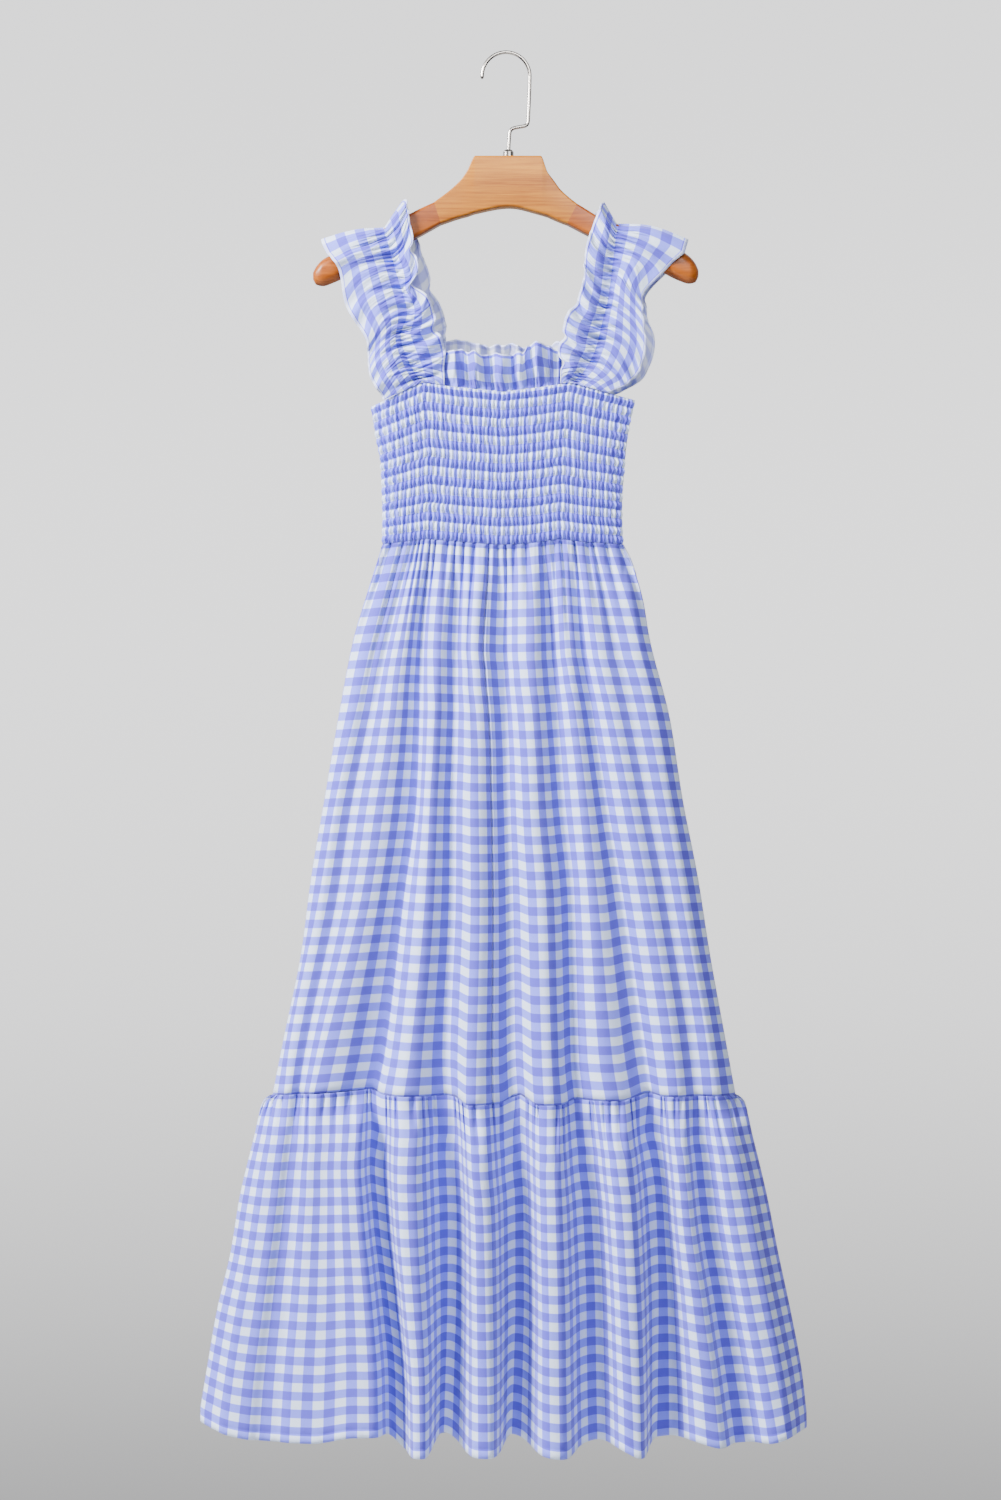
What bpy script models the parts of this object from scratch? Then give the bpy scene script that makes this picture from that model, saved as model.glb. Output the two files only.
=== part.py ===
"""A long sundress with a smocked bodice and ruffled straps, on a wooden hanger.

Units in the tables are millimetres. +Z is up, the front faces -Y, and the
origin is the inside of the hook's crown, where a rail bears on it.
"""
import math

import bmesh
import bpy
from mathutils import Vector

MM = 0.001
WALL = 1.5              # a cloth wall, its turnings included
GAP = 0.3               # clearance between sewn pieces
HALF = GAP / 2

BODICE_DEPTH = 13.0     # half the depth of the flattened bodice
BODICE_POWER = 2.6      # how square its flat section is
SHIRRING_ROWS = 17
RELIEF = 1.3            # height of a pucker between two shirring rows
WAIST_Z = -510.0
TIER_Z = -1086.0
GATHER = 1.1            # half height of a gather at a seam
STRAP_WAVE = 4.5        # half height of the ruffle waves at a strap's edge
NECK_WAVE = 5.0         # the same at a neck ruffle's free edge
SEAT_DEPTH = 16.0       # half the width of a strap's bend over the arm
WIRE = 1.9              # radius of the hook's wire

# Side outline of the bodice: height, left, right
BODICE_SIDES = [
    (-364, -141, 134),
    (-428, -130, 123),
    (-480, -129, 120),
    (-510, -129, 121),
]

# Side outline of the skirt and the flounce: height, left, right
SKIRT_SIDES = [
    (-510, -129, 121),
    (-526, -134, 129),
    (-568, -147, 142),
    (-609, -159, 149),
    (-693, -175, 170),
    (-776, -189, 183),
    (-859, -203, 199),
    (-942, -214, 212),
    (-1025, -231, 227),
    (-1086, -243, 238),
]
FLOUNCE_SIDES = [
    (-1086, -243, 238),
    (-1094, -253, 247),
    (-1129, -262, 256),
    (-1192, -277, 271),
    (-1254, -287, 283),
    (-1317, -301, 296),
    (-1379, -311, 307),
    (-1425, -318, 312),
]

# Edges that run across: x, height
BODICE_TOP = [
    (-142, -368),
    (-87, -343),
    (-53, -348),
    (-3, -353),
    (37, -348),
    (66, -343),
    (98, -352),
    (136, -361),
]
BODICE_TOP_BACK = [
    (-142, -368),
    (-84, -341),
    (-53, -340),
    (-3, -343),
    (37, -340),
    (69, -341),
    (98, -350),
    (136, -361),
]
WAIST = [
    (-129, -510),
    (-83, -505),
    (-37, -509),
    (-8, -511),
    (21, -510),
    (55, -505),
    (79, -508),
    (121, -510),
]
TIER = [
    (-243, -1081),
    (-140, -1075),
    (-130, -1080),
    (-54, -1081),
    (-40, -1089),
    (-7, -1089),
    (14, -1080),
    (32, -1089),
    (58, -1089),
    (70, -1085),
    (120, -1085),
    (146, -1078),
    (162, -1081),
    (240, -1081),
]
TIER_BACK = [
    (-243, -1081),
    (0, -1084),
    (240, -1081),
]
HEM = [
    (-318, -1420),
    (-282, -1431),
    (-244, -1436),
    (-200, -1437),
    (-154, -1430),
    (-128, -1430),
    (-104, -1448),
    (-84, -1448),
    (-66, -1432),
    (-36, -1447),
    (-8, -1447),
    (5, -1434),
    (36, -1446),
    (62, -1449),
    (76, -1443),
    (96, -1438),
    (117, -1441),
    (140, -1449),
    (157, -1437),
    (191, -1434),
    (222, -1440),
    (264, -1438),
    (312, -1426),
]
HEM_BACK = [
    (-318, -1420),
    (-270, -1436),
    (-200, -1444),
    (-120, -1440),
    (0, -1436),
    (110, -1438),
    (220, -1436),
    (312, -1426),
]

# Folds of the front skirt: strength (ridge above 0, trough below), then x at each level
SKIRT_LEVELS = (-510, -609, -776, -880, -1046, -1086)
SKIRT_FOLDS = [
    (0.5, -114, -138, -177, -195, -227, -231),
    (-0.15, -101, -122, -158, -174, -208, -214),
    (0.5, -90, -107, -133, -149, -189, -198),
    (-1.0, -78, -88, -93, -106, -126, -134),
    (0.9, -63, -71, -79, -84, -100, -106),
    (-0.7, -49, -53, -57, -58, -64, -62),
    (0.9, -31, -33, -32, -31, -35, -36),
    (-1.0, -6, -3, 0, 2, 4, 6),
    (1.0, 19, 25, 28, 36, 42, 44),
    (-0.8, 39, 48, 57, 67, 70, 74),
    (0.7, 54, 62, 78, 88, 101, 108),
    (-0.6, 65, 78, 101, 118, 142, 148),
    (0.7, 79, 95, 126, 146, 172, 176),
    (0.1, 92, 114, 146, 166, 192, 196),
    (0.6, 106, 133, 166, 184, 212, 216),
]
SKIRT_FOLDS_BACK = [
    (0.5, -108, -130, -165, -183, -210, -216),
    (-0.7, -84, -101, -128, -145, -166, -170),
    (0.8, -58, -70, -90, -100, -118, -122),
    (-0.6, -32, -38, -50, -57, -66, -70),
    (0.7, -5, -8, -10, -12, -12, -12),
    (-0.9, 22, 26, 34, 40, 46, 48),
    (0.8, 50, 60, 78, 88, 102, 108),
    (-0.7, 74, 90, 116, 130, 152, 158),
    (0.6, 100, 122, 156, 172, 200, 206),
]

# Folds of the front flounce, in the same way
FLOUNCE_LEVELS = (-1086, -1150, -1213, -1296, -1379, -1440)
FLOUNCE_FOLDS = [
    (0.3, -231, -238, -246, -258, -270, -276),
    (0.0, -214, -219, -225, -234, -242, -246),
    (0.2, -198, -200, -203, -208, -214, -217),
    (-1.0, -134, -135, -131, -121, -113, -112),
    (0.9, -106, -105, -103, -97, -91, -90),
    (-1.0, -62, -58, -56, -57, -60, -62),
    (1.0, -36, -30, -26, -24, -22, -21),
    (-1.0, 6, 9, 11, 11, 9, 7),
    (0.9, 44, 45, 46, 48, 49, 50),
    (-0.8, 74, 80, 85, 88, 89, 90),
    (0.8, 108, 117, 122, 127, 131, 133),
    (-1.0, 148, 154, 158, 160, 159, 158),
    (0.6, 176, 180, 185, 197, 208, 214),
    (-0.35, 196, 200, 206, 220, 234, 243),
    (0.6, 216, 230, 241, 257, 274, 285),
]
FLOUNCE_FOLDS_BACK = [
    (0.6, -216, -222, -232, -246, -260, -268),
    (-0.7, -170, -174, -180, -190, -200, -206),
    (0.9, -122, -126, -130, -134, -140, -144),
    (-0.8, -70, -72, -76, -80, -84, -86),
    (0.8, -12, -12, -14, -16, -18, -20),
    (-0.9, 48, 50, 54, 58, 62, 64),
    (0.9, 108, 110, 116, 122, 128, 132),
    (-0.7, 158, 162, 170, 182, 194, 200),
    (0.6, 206, 212, 222, 238, 254, 262),
]

# Mean depth and fold height down the skirt: height, front, back, front fold, back fold
SKIRT_DEPTHS = [
    (-510, 13, 13, 0, 0),
    (-560, 16, 15, 4, 2),
    (-650, 19, 17, 9, 4),
    (-800, 23, 20, 13, 6),
    (-1086, 27, 23, 15, 8),
    (-1150, 31, 26, 18, 10),
    (-1440, 33, 28, 19, 11),
]

# Stations up a strap's front leg: outer x, z, gathering x, z, inner x, z, depth
STRAP_LEFT = [
    (-128, -361.2, -87, -343.0, -64, -345.8, 11.5),
    (-143, -328, -98, -326, -64, -318, 13),
    (-146, -302, -109, -295, -69, -293, 14),
    (-167, -265, -102, -271, -75, -267, 15),
    (-176, -226, -113, -230, -89, -227, 16),
    (-186, -211, -123, -194, -99, -172, 16),
]
STRAP_RIGHT = [
    (107, -353.7, 66, -344.0, 56, -345.0, 11.5),
    (134, -338, 80, -330, 55, -320, 13),
    (146, -303, 92, -306, 56, -293, 14),
    (148, -276, 99, -278, 63, -272, 15),
    (139, -256, 105, -254, 77, -242, 15.5),
    (165, -226, 109, -220, 81, -215, 16),
    (186, -210, 112, -192, 94, -172, 16),
]
CREST_LEFT = (-191, -195.7, -127, -180.9, -110, -155)
CREST_RIGHT = (190, -193.7, 115, -177.1, 101, -155)
BACK_SHIFT = 8.0        # the back legs hang a little to the right
BASE_SHIFT = 3.0        # and so do their ends on the bodice

# Free edges of the neck ruffles: x, height
NECK_FRONT = [
    (-62, -308),
    (-46, -307),
    (-25, -312),
    (4, -312),
    (17, -310),
    (19, -302),
    (29, -299),
    (53, -305),
]
NECK_BACK = [
    (-58, -294),
    (-42, -294),
    (-25, -300),
    (4, -298),
    (24, -301),
    (57, -297),
]

# Sections of the hanger's arms: x, top, bottom, half depth
ARM_LEFT = [
    (-72.0, -155.2, -181.8, 9.5),
    (-98, -167.5, -195, 10),
    (-130, -183, -212, 10.5),
    (-160, -198, -228, 11),
    (-180, -208, -238, 11.5),
    (-191, -214, -241.5, 11),
    (-198, -221.5, -240, 8.5),
    (-201, -227, -235, 4),
]
ARM_RIGHT = [
    (68.5, -156.8, -181.2, 9.5),
    (95, -169.5, -194, 10),
    (130, -184, -211, 10.5),
    (160, -196, -226, 11),
    (180, -204, -236, 11.5),
    (190, -210.5, -239, 11),
    (196.5, -218, -237.5, 8.5),
    (199.5, -224.5, -232, 4),
]
BODY_OUTLINE = [
    (-33, -107), (36, -107), (42, -122), (53, -137), (62, -147),
    (68.2, -156.8), (68.2, -181.2), (46, -171), (24, -163), (3, -160),
    (-22, -163), (-48, -171.5), (-71.7, -181.8), (-71.7, -155.2), (-54, -140),
    (-41, -123),
]
BODY_DEPTH = 9.0
FERRULE_TOP = -100.0
FERRULE_RADIUS = 5.5

CLOTH = (0.48, 0.56, 0.92, 1)
CLOTH_BACK = (0.42, 0.50, 0.86, 1)
PALE_WOOD = (0.76, 0.53, 0.31, 1)
WARM_WOOD = (0.72, 0.42, 0.20, 1)
NICKEL = (0.62, 0.60, 0.57, 1)


def mix(a, b, t):
    return a + (b - a) * t


def ease(t):
    return 0.5 - 0.5 * math.cos(math.pi * min(max(t, 0.0), 1.0))


def read(keys, values, at):
    """Straight interpolation of values over keys that only rise or only fall."""
    rising = keys[-1] > keys[0]
    for k in range(len(keys) - 1):
        low, high = keys[k], keys[k + 1]
        if (at <= high) == rising or k == len(keys) - 2:
            t = (at - low) / (high - low)
            return mix(values[k], values[k + 1], min(max(t, 0.0), 1.0))
    return values[-1]


def column(table, name_index, at):
    return read([row[0] for row in table], [row[name_index] for row in table], at)


def spread(count):
    return [i / count for i in range(count + 1)]


def section(count, depth, power):
    """Half of a flattened tube's outline, in equal steps along it: side -1 to 1, depth."""
    fine = []
    steps = 400
    for i in range(steps + 1):
        a = math.pi * i / steps
        side = -math.copysign(abs(math.cos(a)) ** (2 / power), math.cos(a))
        fine.append((side, depth * math.sin(a) ** (2 / power)))
    return fine


def resample(points, half_width, count):
    """Points of the outline at equal distances, for one half width."""
    total = [0.0]
    for (s0, d0), (s1, d1) in zip(points, points[1:]):
        total.append(total[-1] + math.hypot((s1 - s0) * half_width, d1 - d0))
    result = []
    k = 0
    for i in range(count + 1):
        goal = total[-1] * i / count
        while k < len(total) - 2 and total[k + 1] < goal:
            k += 1
        t = (goal - total[k]) / max(total[k + 1] - total[k], 1e-9)
        a, b = points[k], points[k + 1]
        result.append((mix(a[0], b[0], t), mix(a[1], b[1], t)))
    return result


def normals(grid):
    """Unit normals of a grid of points, from the rows and columns beside each."""
    rows = len(grid)
    cols = len(grid[0])
    result = []
    for r in range(rows):
        line = []
        for c in range(cols):
            down = grid[min(r + 1, rows - 1)][c] - grid[max(r - 1, 0)][c]
            across = grid[r][min(c + 1, cols - 1)] - grid[r][max(c - 1, 0)]
            line.append(down.cross(across).normalized())
        result.append(line)
    return result


def shifted(grid, distance, level_rows=True, level_sides=True):
    """A copy of the grid moved along its normals; edges stay level with their own edge."""
    moved = []
    last_row = len(grid) - 1
    last_col = len(grid[0]) - 1
    for r, (line, away) in enumerate(zip(grid, normals(grid))):
        new = []
        for c, (point, normal) in enumerate(zip(line, away)):
            if level_rows and r in (0, last_row):
                normal = Vector((normal.x, normal.y, 0)).normalized()
            if level_sides and c in (0, last_col):
                normal = Vector((normal.x, 0, 0)).normalized()
            new.append(point + normal * distance)
        moved.append(new)
    return moved


def grid_faces(index):
    faces = []
    for upper, lower in zip(index, index[1:]):
        for c in range(len(upper) - 1):
            faces.append((upper[c], lower[c], lower[c + 1], upper[c + 1]))
    return faces


def zip_faces(first, second):
    """Triangles between two runs of points with the same two ends in common direction."""
    faces = []
    a = b = 0
    while a < len(first) - 1 or b < len(second) - 1:
        next_a = (a + 1) / max(len(first) - 1, 1)
        next_b = (b + 1) / max(len(second) - 1, 1)
        if b == len(second) - 1 or (a < len(first) - 1 and next_a <= next_b):
            faces.append((first[a], first[a + 1], second[b]))
            a += 1
        else:
            faces.append((first[a], second[b + 1], second[b]))
            b += 1
    return faces


def wall(name, outer, inner, material):
    """A closed cloth wall between two grids, which may have unequal rows."""
    points = []
    index = []
    for grid in (outer, inner):
        numbers = []
        for line in grid:
            numbers.append(list(range(len(points), len(points) + len(line))))
            points.extend(line)
        index.append(numbers)
    out, inn = index
    faces = grid_faces(out) + [face[::-1] for face in grid_faces(inn)]
    faces += zip_faces(out[0], inn[0])
    faces += [face[::-1] for face in zip_faces(out[-1], inn[-1])]
    faces += [face[::-1] for face in zip_faces([line[0] for line in out], [line[0] for line in inn])]
    faces += zip_faces([line[-1] for line in out], [line[-1] for line in inn])
    return solid(name, points, faces, material)


def solid(name, points, faces, material):
    """One object from points in millimetres, its faces turned outward."""
    mesh = bpy.data.meshes.new(name)
    mesh.from_pydata([point * MM for point in points], [], faces)
    bm = bmesh.new()
    bm.from_mesh(mesh)
    bmesh.ops.recalc_face_normals(bm, faces=bm.faces[:])
    bm.to_mesh(mesh)
    bm.free()
    mesh.materials.append(material)
    thing = bpy.data.objects.new(name, mesh)
    bpy.context.scene.collection.objects.link(thing)
    return thing


def material(name, color, roughness, metallic=0.0):
    result = bpy.data.materials.new(name)
    result.use_nodes = True
    shader = result.node_tree.nodes["Principled BSDF"]
    shader.inputs["Base Color"].default_value = color
    shader.inputs["Roughness"].default_value = roughness
    shader.inputs["Metallic"].default_value = metallic
    result.diffuse_color = color
    return result


def bodice_grid(side, columns, fractions, top, relief):
    """The smocked tube's front (side -1) or back (side 1)."""
    base = section(400, BODICE_DEPTH, BODICE_POWER)
    grid = []
    for r, v in enumerate(fractions):
        z_side = mix(-366, WAIST_Z, v)
        left = column(BODICE_SIDES, 1, z_side)
        right = column(BODICE_SIDES, 2, z_side)
        half = (right - left) / 2
        line = []
        for c, (s, depth) in enumerate(resample(base, half, columns)):
            x = (left + right) / 2 + s * half
            z = mix(column(top, 1, x), column(WAIST, 1, x), v)
            raised = relief if r % 2 and (c + r // 2) % 2 and 0 < c < columns else 0.0
            line.append(Vector((x, side * (depth + HALF + raised), z)))
        grid.append(line)
    return grid


def bodice(name, side, columns, top, cloth):
    outer = bodice_grid(side, columns, spread(2 * SHIRRING_ROWS), top, RELIEF)
    plain = bodice_grid(side, columns, (0.0, 0.42, 0.78, 1.0), top, 0.0)
    inner = shifted(plain, side * WALL)
    relevel(inner[0], outer[0])
    relevel(inner[-1], outer[-1])
    wall(name, outer, inner, cloth)
    return outer


def edge_depth(line):
    """Depth of a row of points as a function of x."""
    keys = [point.x for point in line]
    values = [abs(point.y) for point in line]
    return lambda x: read(keys, values, x)


def edge_height(line):
    """Height of a row of points as a function of x."""
    keys = [point.x for point in line]
    values = [point.z for point in line]
    return lambda x: read(keys, values, x)


def relevel(line, beside):
    """Puts a row at the heights of the row beside it, at its own places."""
    height = edge_height(beside)
    for point in line:
        point.z = height(point.x)


def fold_columns(folds, per_fold):
    """Column places as (fold before, share of the way to the next)."""
    places = []
    for k in range(len(folds) + 1):
        for i in range(per_fold):
            places.append((k, i / per_fold))
    places.append((len(folds), 1.0))
    return places


def panel_grid(side, sides, levels, folds, places, fractions, top, bottom, above, gather_fade):
    """A gathered panel whose columns follow its folds, hung from the row above it."""
    z_top, z_bottom = levels[0], levels[-1]
    depth_column = 1 if side < 0 else 2
    strength = [0.0] + [fold[0] for fold in folds] + [0.0]

    def across(z, place):
        k, t = place
        xs = [column(sides, 1, z)] + [read(levels, fold[1:], z) for fold in folds]
        xs.append(column(sides, 2, z))
        if k == 0:
            t = t ** 1.7
        if k == len(folds):
            t = 1 - (1 - t) ** 1.7
        return mix(xs[k], xs[k + 1], t), xs[0], xs[-1]

    grid = []
    for v in fractions:
        z_level = mix(z_top, z_bottom, v)
        line = []
        for c, place in enumerate(places):
            x, left, right = across(z_level, place)
            z = mix(column(top, 1, across(z_top, place)[0]), column(bottom, 1, across(z_bottom, place)[0]), v)
            s = abs(2 * (x - left) / (right - left) - 1)
            flat = max(1 - s ** 3.2, 0.0) ** (1 / 3.2)
            k, t = place
            fold = mix(strength[k], strength[k + 1], ease(t))
            depth = column(SKIRT_DEPTHS, depth_column, z_level) * flat
            depth += column(SKIRT_DEPTHS, depth_column + 2, z_level) * fold * min(1.0, (1 - s) / 0.08)
            if above:
                depth = mix(above(x), depth, ease(v / 0.1))
            tuck = GATHER * (1 if c % 2 else -1) * max(1 - v / gather_fade, 0.0)
            if 0 < c < len(places) - 1:
                depth += tuck * min(1.0, (1 - s) / 0.04)
            line.append(Vector((x, side * (max(depth, 0.0) + HALF), z)))
        grid.append(line)
    return grid


def wrong_side(grid, side):
    """The inner face of a panel, level with its outer face at both edges."""
    inner = shifted(grid, side * WALL)
    relevel(inner[0], grid[0])
    relevel(inner[-1], grid[-1])
    return inner


def panel(name, grid, side, cloth):
    wall(name, grid, wrong_side(grid, side), cloth)


def lowered(table):
    """The same edge one seam's clearance lower."""
    return [(x, z - GAP) for x, z in table]


def strap(name, stations, crest, sign, cloth):
    """A ruffled strip from the front of the bodice over the arm to its back."""
    waves_per_leg = 9
    steps = 2 * waves_per_leg
    across = [(0, 0.0), (0, 0.35), (0, 0.7), (1, 0.0), (1, 0.5), (1, 1.0)]
    reach = [1.0, 0.65, 0.3, 0.12, 0.45, 0.85]
    leg = []
    for i in range(steps + 1):
        at = (len(stations) - 1) * i / steps
        k = min(int(at), len(stations) - 2)
        leg.append([mix(a, b, at - k) for a, b in zip(stations[k], stations[k + 1])])
    grid = []

    def line(values, depth, wave, shift):
        row = []
        for (part, t), spread_out in zip(across, reach):
            x = mix(values[2 * part], values[2 * part + 2], t) + shift
            z = mix(values[2 * part + 1], values[2 * part + 3], t)
            row.append(Vector((x, depth + math.copysign(wave * spread_out, depth), z)))
        return row

    for i, values in enumerate(leg):
        grow = min(1.0, i / 3, 0.35 + (steps - i) / 5)
        wave = STRAP_WAVE * grow * (1 if i % 2 else -1)
        grid.append(line(values[:6], -values[6], wave, 0.0))
    for turn in (30, 60, 90, 120, 150):
        a = math.radians(turn)
        values = [mix(low, high, math.sin(a)) for low, high in zip(leg[-1][:6], crest)]
        row = line(values, 0.0, 0.0, 0.0)
        for point in row:
            point.y = -SEAT_DEPTH * math.cos(a)
        grid.append(row)
    for i, values in reversed(list(enumerate(leg))):
        grow = min(1.0, i / 3, 0.35 + (steps - i) / 5)
        wave = STRAP_WAVE * grow * (1 if i % 2 else -1)
        shift = mix(BASE_SHIFT, BACK_SHIFT, min(1.0, i / 6)) * min(1.0, (steps - i) / 6)
        grid.append(line(values[:6], values[6], wave, shift))
    lift_base(grid[0], BODICE_TOP)
    lift_base(grid[-1], BODICE_TOP_BACK)
    outer = shifted(grid, sign * WALL, level_sides=False)
    outer[0] = [point + Vector((0, -WALL, 0)) for point in grid[0]]
    outer[-1] = [point + Vector((0, WALL, 0)) for point in grid[-1]]
    wall(name, outer, grid, cloth)


def lift_base(line, edge):
    """Puts a strap's end just above the bodice's top edge."""
    for point in line:
        point.z = column(edge, 1, point.x) + GAP


def neck_ruffle(name, side, edge, top, cloth):
    """A strip gathered along the bodice's top row, opening to six waves."""
    base = edge_height(top)
    gathers = 12
    columns = 4 * gathers
    left, right = edge[0][0], edge[-1][0]
    grid = []
    for v in (1.0, 0.72, 0.42, 0.16, 0.0):
        line = []
        for c in range(columns + 1):
            x = mix(left, right, c / columns)
            z = mix(base(x) + GAP, column(edge, 1, x), v)
            small = math.sin(2 * math.pi * gathers * c / columns) * GATHER * (1 - v)
            large = math.sin(2 * math.pi * 6 * c / columns + 0.6) * NECK_WAVE * v
            line.append(Vector((x, side * (12.8 + HALF + 4 * v + small + large), z)))
        grid.append(line)
    inner = shifted(grid, side * WALL, level_sides=False)
    relevel(inner[-1], grid[-1])
    wall(name, grid, inner, cloth)


def hanger_arm(name, stations, wood):
    """A tapering rounded arm through its sections."""
    around = 14
    points = []
    rings = []
    for x, top, bottom, half_depth in stations:
        ring = []
        for i in range(around):
            a = 2 * math.pi * i / around
            y = half_depth * math.copysign(abs(math.cos(a)) ** 0.9, math.cos(a))
            z = (top + bottom) / 2 + (top - bottom) / 2 * math.copysign(abs(math.sin(a)) ** 0.9, math.sin(a))
            ring.append(len(points))
            points.append(Vector((x, y, z)))
        rings.append(ring)
    faces = [tuple(rings[0]), tuple(rings[-1])]
    for a, b in zip(rings, rings[1:]):
        for i in range(around):
            j = (i + 1) % around
            faces.append((a[i], a[j], b[j], b[i]))
    thing = solid(name, points, faces, wood)
    thing.data.shade_smooth()
    return thing


def hanger_body(wood):
    """The block and its shoulders, one outline with rounded edges."""
    count = len(BODY_OUTLINE)
    points = [Vector((x, -BODY_DEPTH, z)) for x, z in BODY_OUTLINE]
    points += [Vector((x, BODY_DEPTH, z)) for x, z in BODY_OUTLINE]
    faces = [tuple(range(count)), tuple(range(count, 2 * count))]
    for i in range(count):
        j = (i + 1) % count
        faces.append((i, j, j + count, i + count))
    thing = solid("hanger_body", points, faces, wood)
    rounding = thing.modifiers.new("rounded edges", "BEVEL")
    rounding.width = 2.5 * MM
    rounding.segments = 2
    rounding.limit_method = "ANGLE"
    rounding.angle_limit = math.radians(50)


def ferrule(metal):
    """A turned collar round the wire, on top of the block."""
    around = 16
    profile = [
        (WIRE + GAP, FERRULE_TOP - 6.7),
        (FERRULE_RADIUS, FERRULE_TOP - 6.7),
        (FERRULE_RADIUS, FERRULE_TOP - 2),
        (FERRULE_RADIUS - 1.5, FERRULE_TOP),
        (WIRE + GAP, FERRULE_TOP),
    ]
    points = []
    for i in range(around):
        a = 2 * math.pi * i / around
        points += [Vector((2 + r * math.cos(a), r * math.sin(a), z)) for r, z in profile]
    faces = []
    size = len(profile)
    for i in range(around):
        j = (i + 1) % around
        for k in range(size):
            m = (k + 1) % size
            faces.append((i * size + k, j * size + k, j * size + m, i * size + m))
    solid("hook_ferrule", points, faces, metal)


def hook(metal):
    """A swan-neck hook of round wire."""
    radius = 24.8
    centre_x, centre_z = -0.5, -radius + WIRE
    path = [(centre_x - radius, centre_z - 3)]
    for i in range(19):
        a = math.pi * (1 - i / 18)
        path.append((centre_x + radius * math.cos(a), centre_z + radius * math.sin(a)))
    path += [(24.2, -36), (23.6, -54), (22.8, -66)]
    path += [(21.6, -71.5), (18.2, -75.2), (13, -77.4), (8, -79.6), (4.2, -83.2), (2.4, -88.5)]
    path += [(2, -95), (2, -106.7)]
    curve = bpy.data.curves.new("hook", "CURVE")
    curve.dimensions = "3D"
    curve.bevel_depth = WIRE * MM
    curve.bevel_resolution = 3
    curve.render_resolution_u = 0
    curve.use_fill_caps = True
    spline = curve.splines.new("POLY")
    spline.points.add(len(path) - 1)
    for point, (x, z) in zip(spline.points, path):
        point.co = (x * MM, 0, z * MM, 1)
    curve.materials.append(metal)
    thing = bpy.data.objects.new("hook", curve)
    bpy.context.scene.collection.objects.link(thing)


def split_at_seam(grid, seam_fold):
    """Cuts a panel's grid into two at one column, with the seam's clearance between."""
    left = [[point.copy() for point in line[:seam_fold + 1]] for line in grid]
    right = [[point.copy() for point in line[seam_fold:]] for line in grid]
    for line in left:
        line[-1].x -= HALF
    for line in right:
        line[0].x += HALF
    return left, right


def main():
    for thing in list(bpy.data.objects):
        bpy.data.objects.remove(thing)
    cloth = material("gingham cotton", CLOTH, 0.85)
    cloth_back = material("gingham cotton back", CLOTH_BACK, 0.85)
    pale = material("pale wood", PALE_WOOD, 0.5)
    warm = material("warm wood", WARM_WOOD, 0.45)
    nickel = material("nickel wire", NICKEL, 0.3, 1.0)

    front_bodice = bodice("bodice_front", -1, 48, BODICE_TOP, cloth)
    back_bodice = bodice("bodice_back", 1, 30, BODICE_TOP_BACK, cloth_back)
    neck_ruffle("neck_ruffle_front", -1, NECK_FRONT, front_bodice[0], cloth)
    neck_ruffle("neck_ruffle_back", 1, NECK_BACK, back_bodice[0], cloth_back)
    strap("strap_left", STRAP_LEFT, CREST_LEFT, -1, cloth)
    strap("strap_right", STRAP_RIGHT, CREST_RIGHT, 1, cloth)

    rows = (0.0, 0.04, 0.1, 0.22, 0.4, 0.62, 0.84, 1.0)
    places = fold_columns(SKIRT_FOLDS, 3)
    skirt = panel_grid(-1, SKIRT_SIDES, SKIRT_LEVELS, SKIRT_FOLDS, places, rows,
                       lowered(WAIST), TIER, edge_depth(front_bodice[-1]), 0.3)
    seam = 8 * 3 - 1
    outer_halves = split_at_seam(skirt, seam)
    inner_halves = split_at_seam(wrong_side(skirt, -1), seam)
    wall("skirt_front_left", outer_halves[0], inner_halves[0], cloth)
    wall("skirt_front_right", outer_halves[1], inner_halves[1], cloth)
    places = fold_columns(SKIRT_FOLDS_BACK, 4)
    skirt_back = panel_grid(1, SKIRT_SIDES, SKIRT_LEVELS, SKIRT_FOLDS_BACK, places, rows,
                            lowered(WAIST), TIER_BACK, edge_depth(back_bodice[-1]), 0.3)
    panel("skirt_back", skirt_back, 1, cloth_back)

    rows = (0.0, 0.05, 0.14, 0.34, 0.62, 0.86, 1.0)
    places = fold_columns(FLOUNCE_FOLDS, 3)
    flounce = panel_grid(-1, FLOUNCE_SIDES, FLOUNCE_LEVELS, FLOUNCE_FOLDS, places, rows,
                         lowered(TIER), HEM, edge_depth(skirt[-1]), 0.3)
    panel("flounce_front", flounce, -1, cloth)
    places = fold_columns(FLOUNCE_FOLDS_BACK, 5)
    flounce_back = panel_grid(1, FLOUNCE_SIDES, FLOUNCE_LEVELS, FLOUNCE_FOLDS_BACK, places, rows,
                              lowered(TIER_BACK), HEM_BACK, edge_depth(skirt_back[-1]), 0.3)
    panel("flounce_back", flounce_back, 1, cloth_back)

    hanger_body(pale)
    hanger_arm("hanger_arm_left", ARM_LEFT, warm)
    hanger_arm("hanger_arm_right", ARM_RIGHT, warm)
    ferrule(nickel)
    hook(nickel)


main()
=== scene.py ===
"""Dresses the CAD frame of the sundress: fine cloth, wood and nickel, light and camera.

Tables are in millimetres, heights are negative below the hook's crown.
"""
import math

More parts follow.
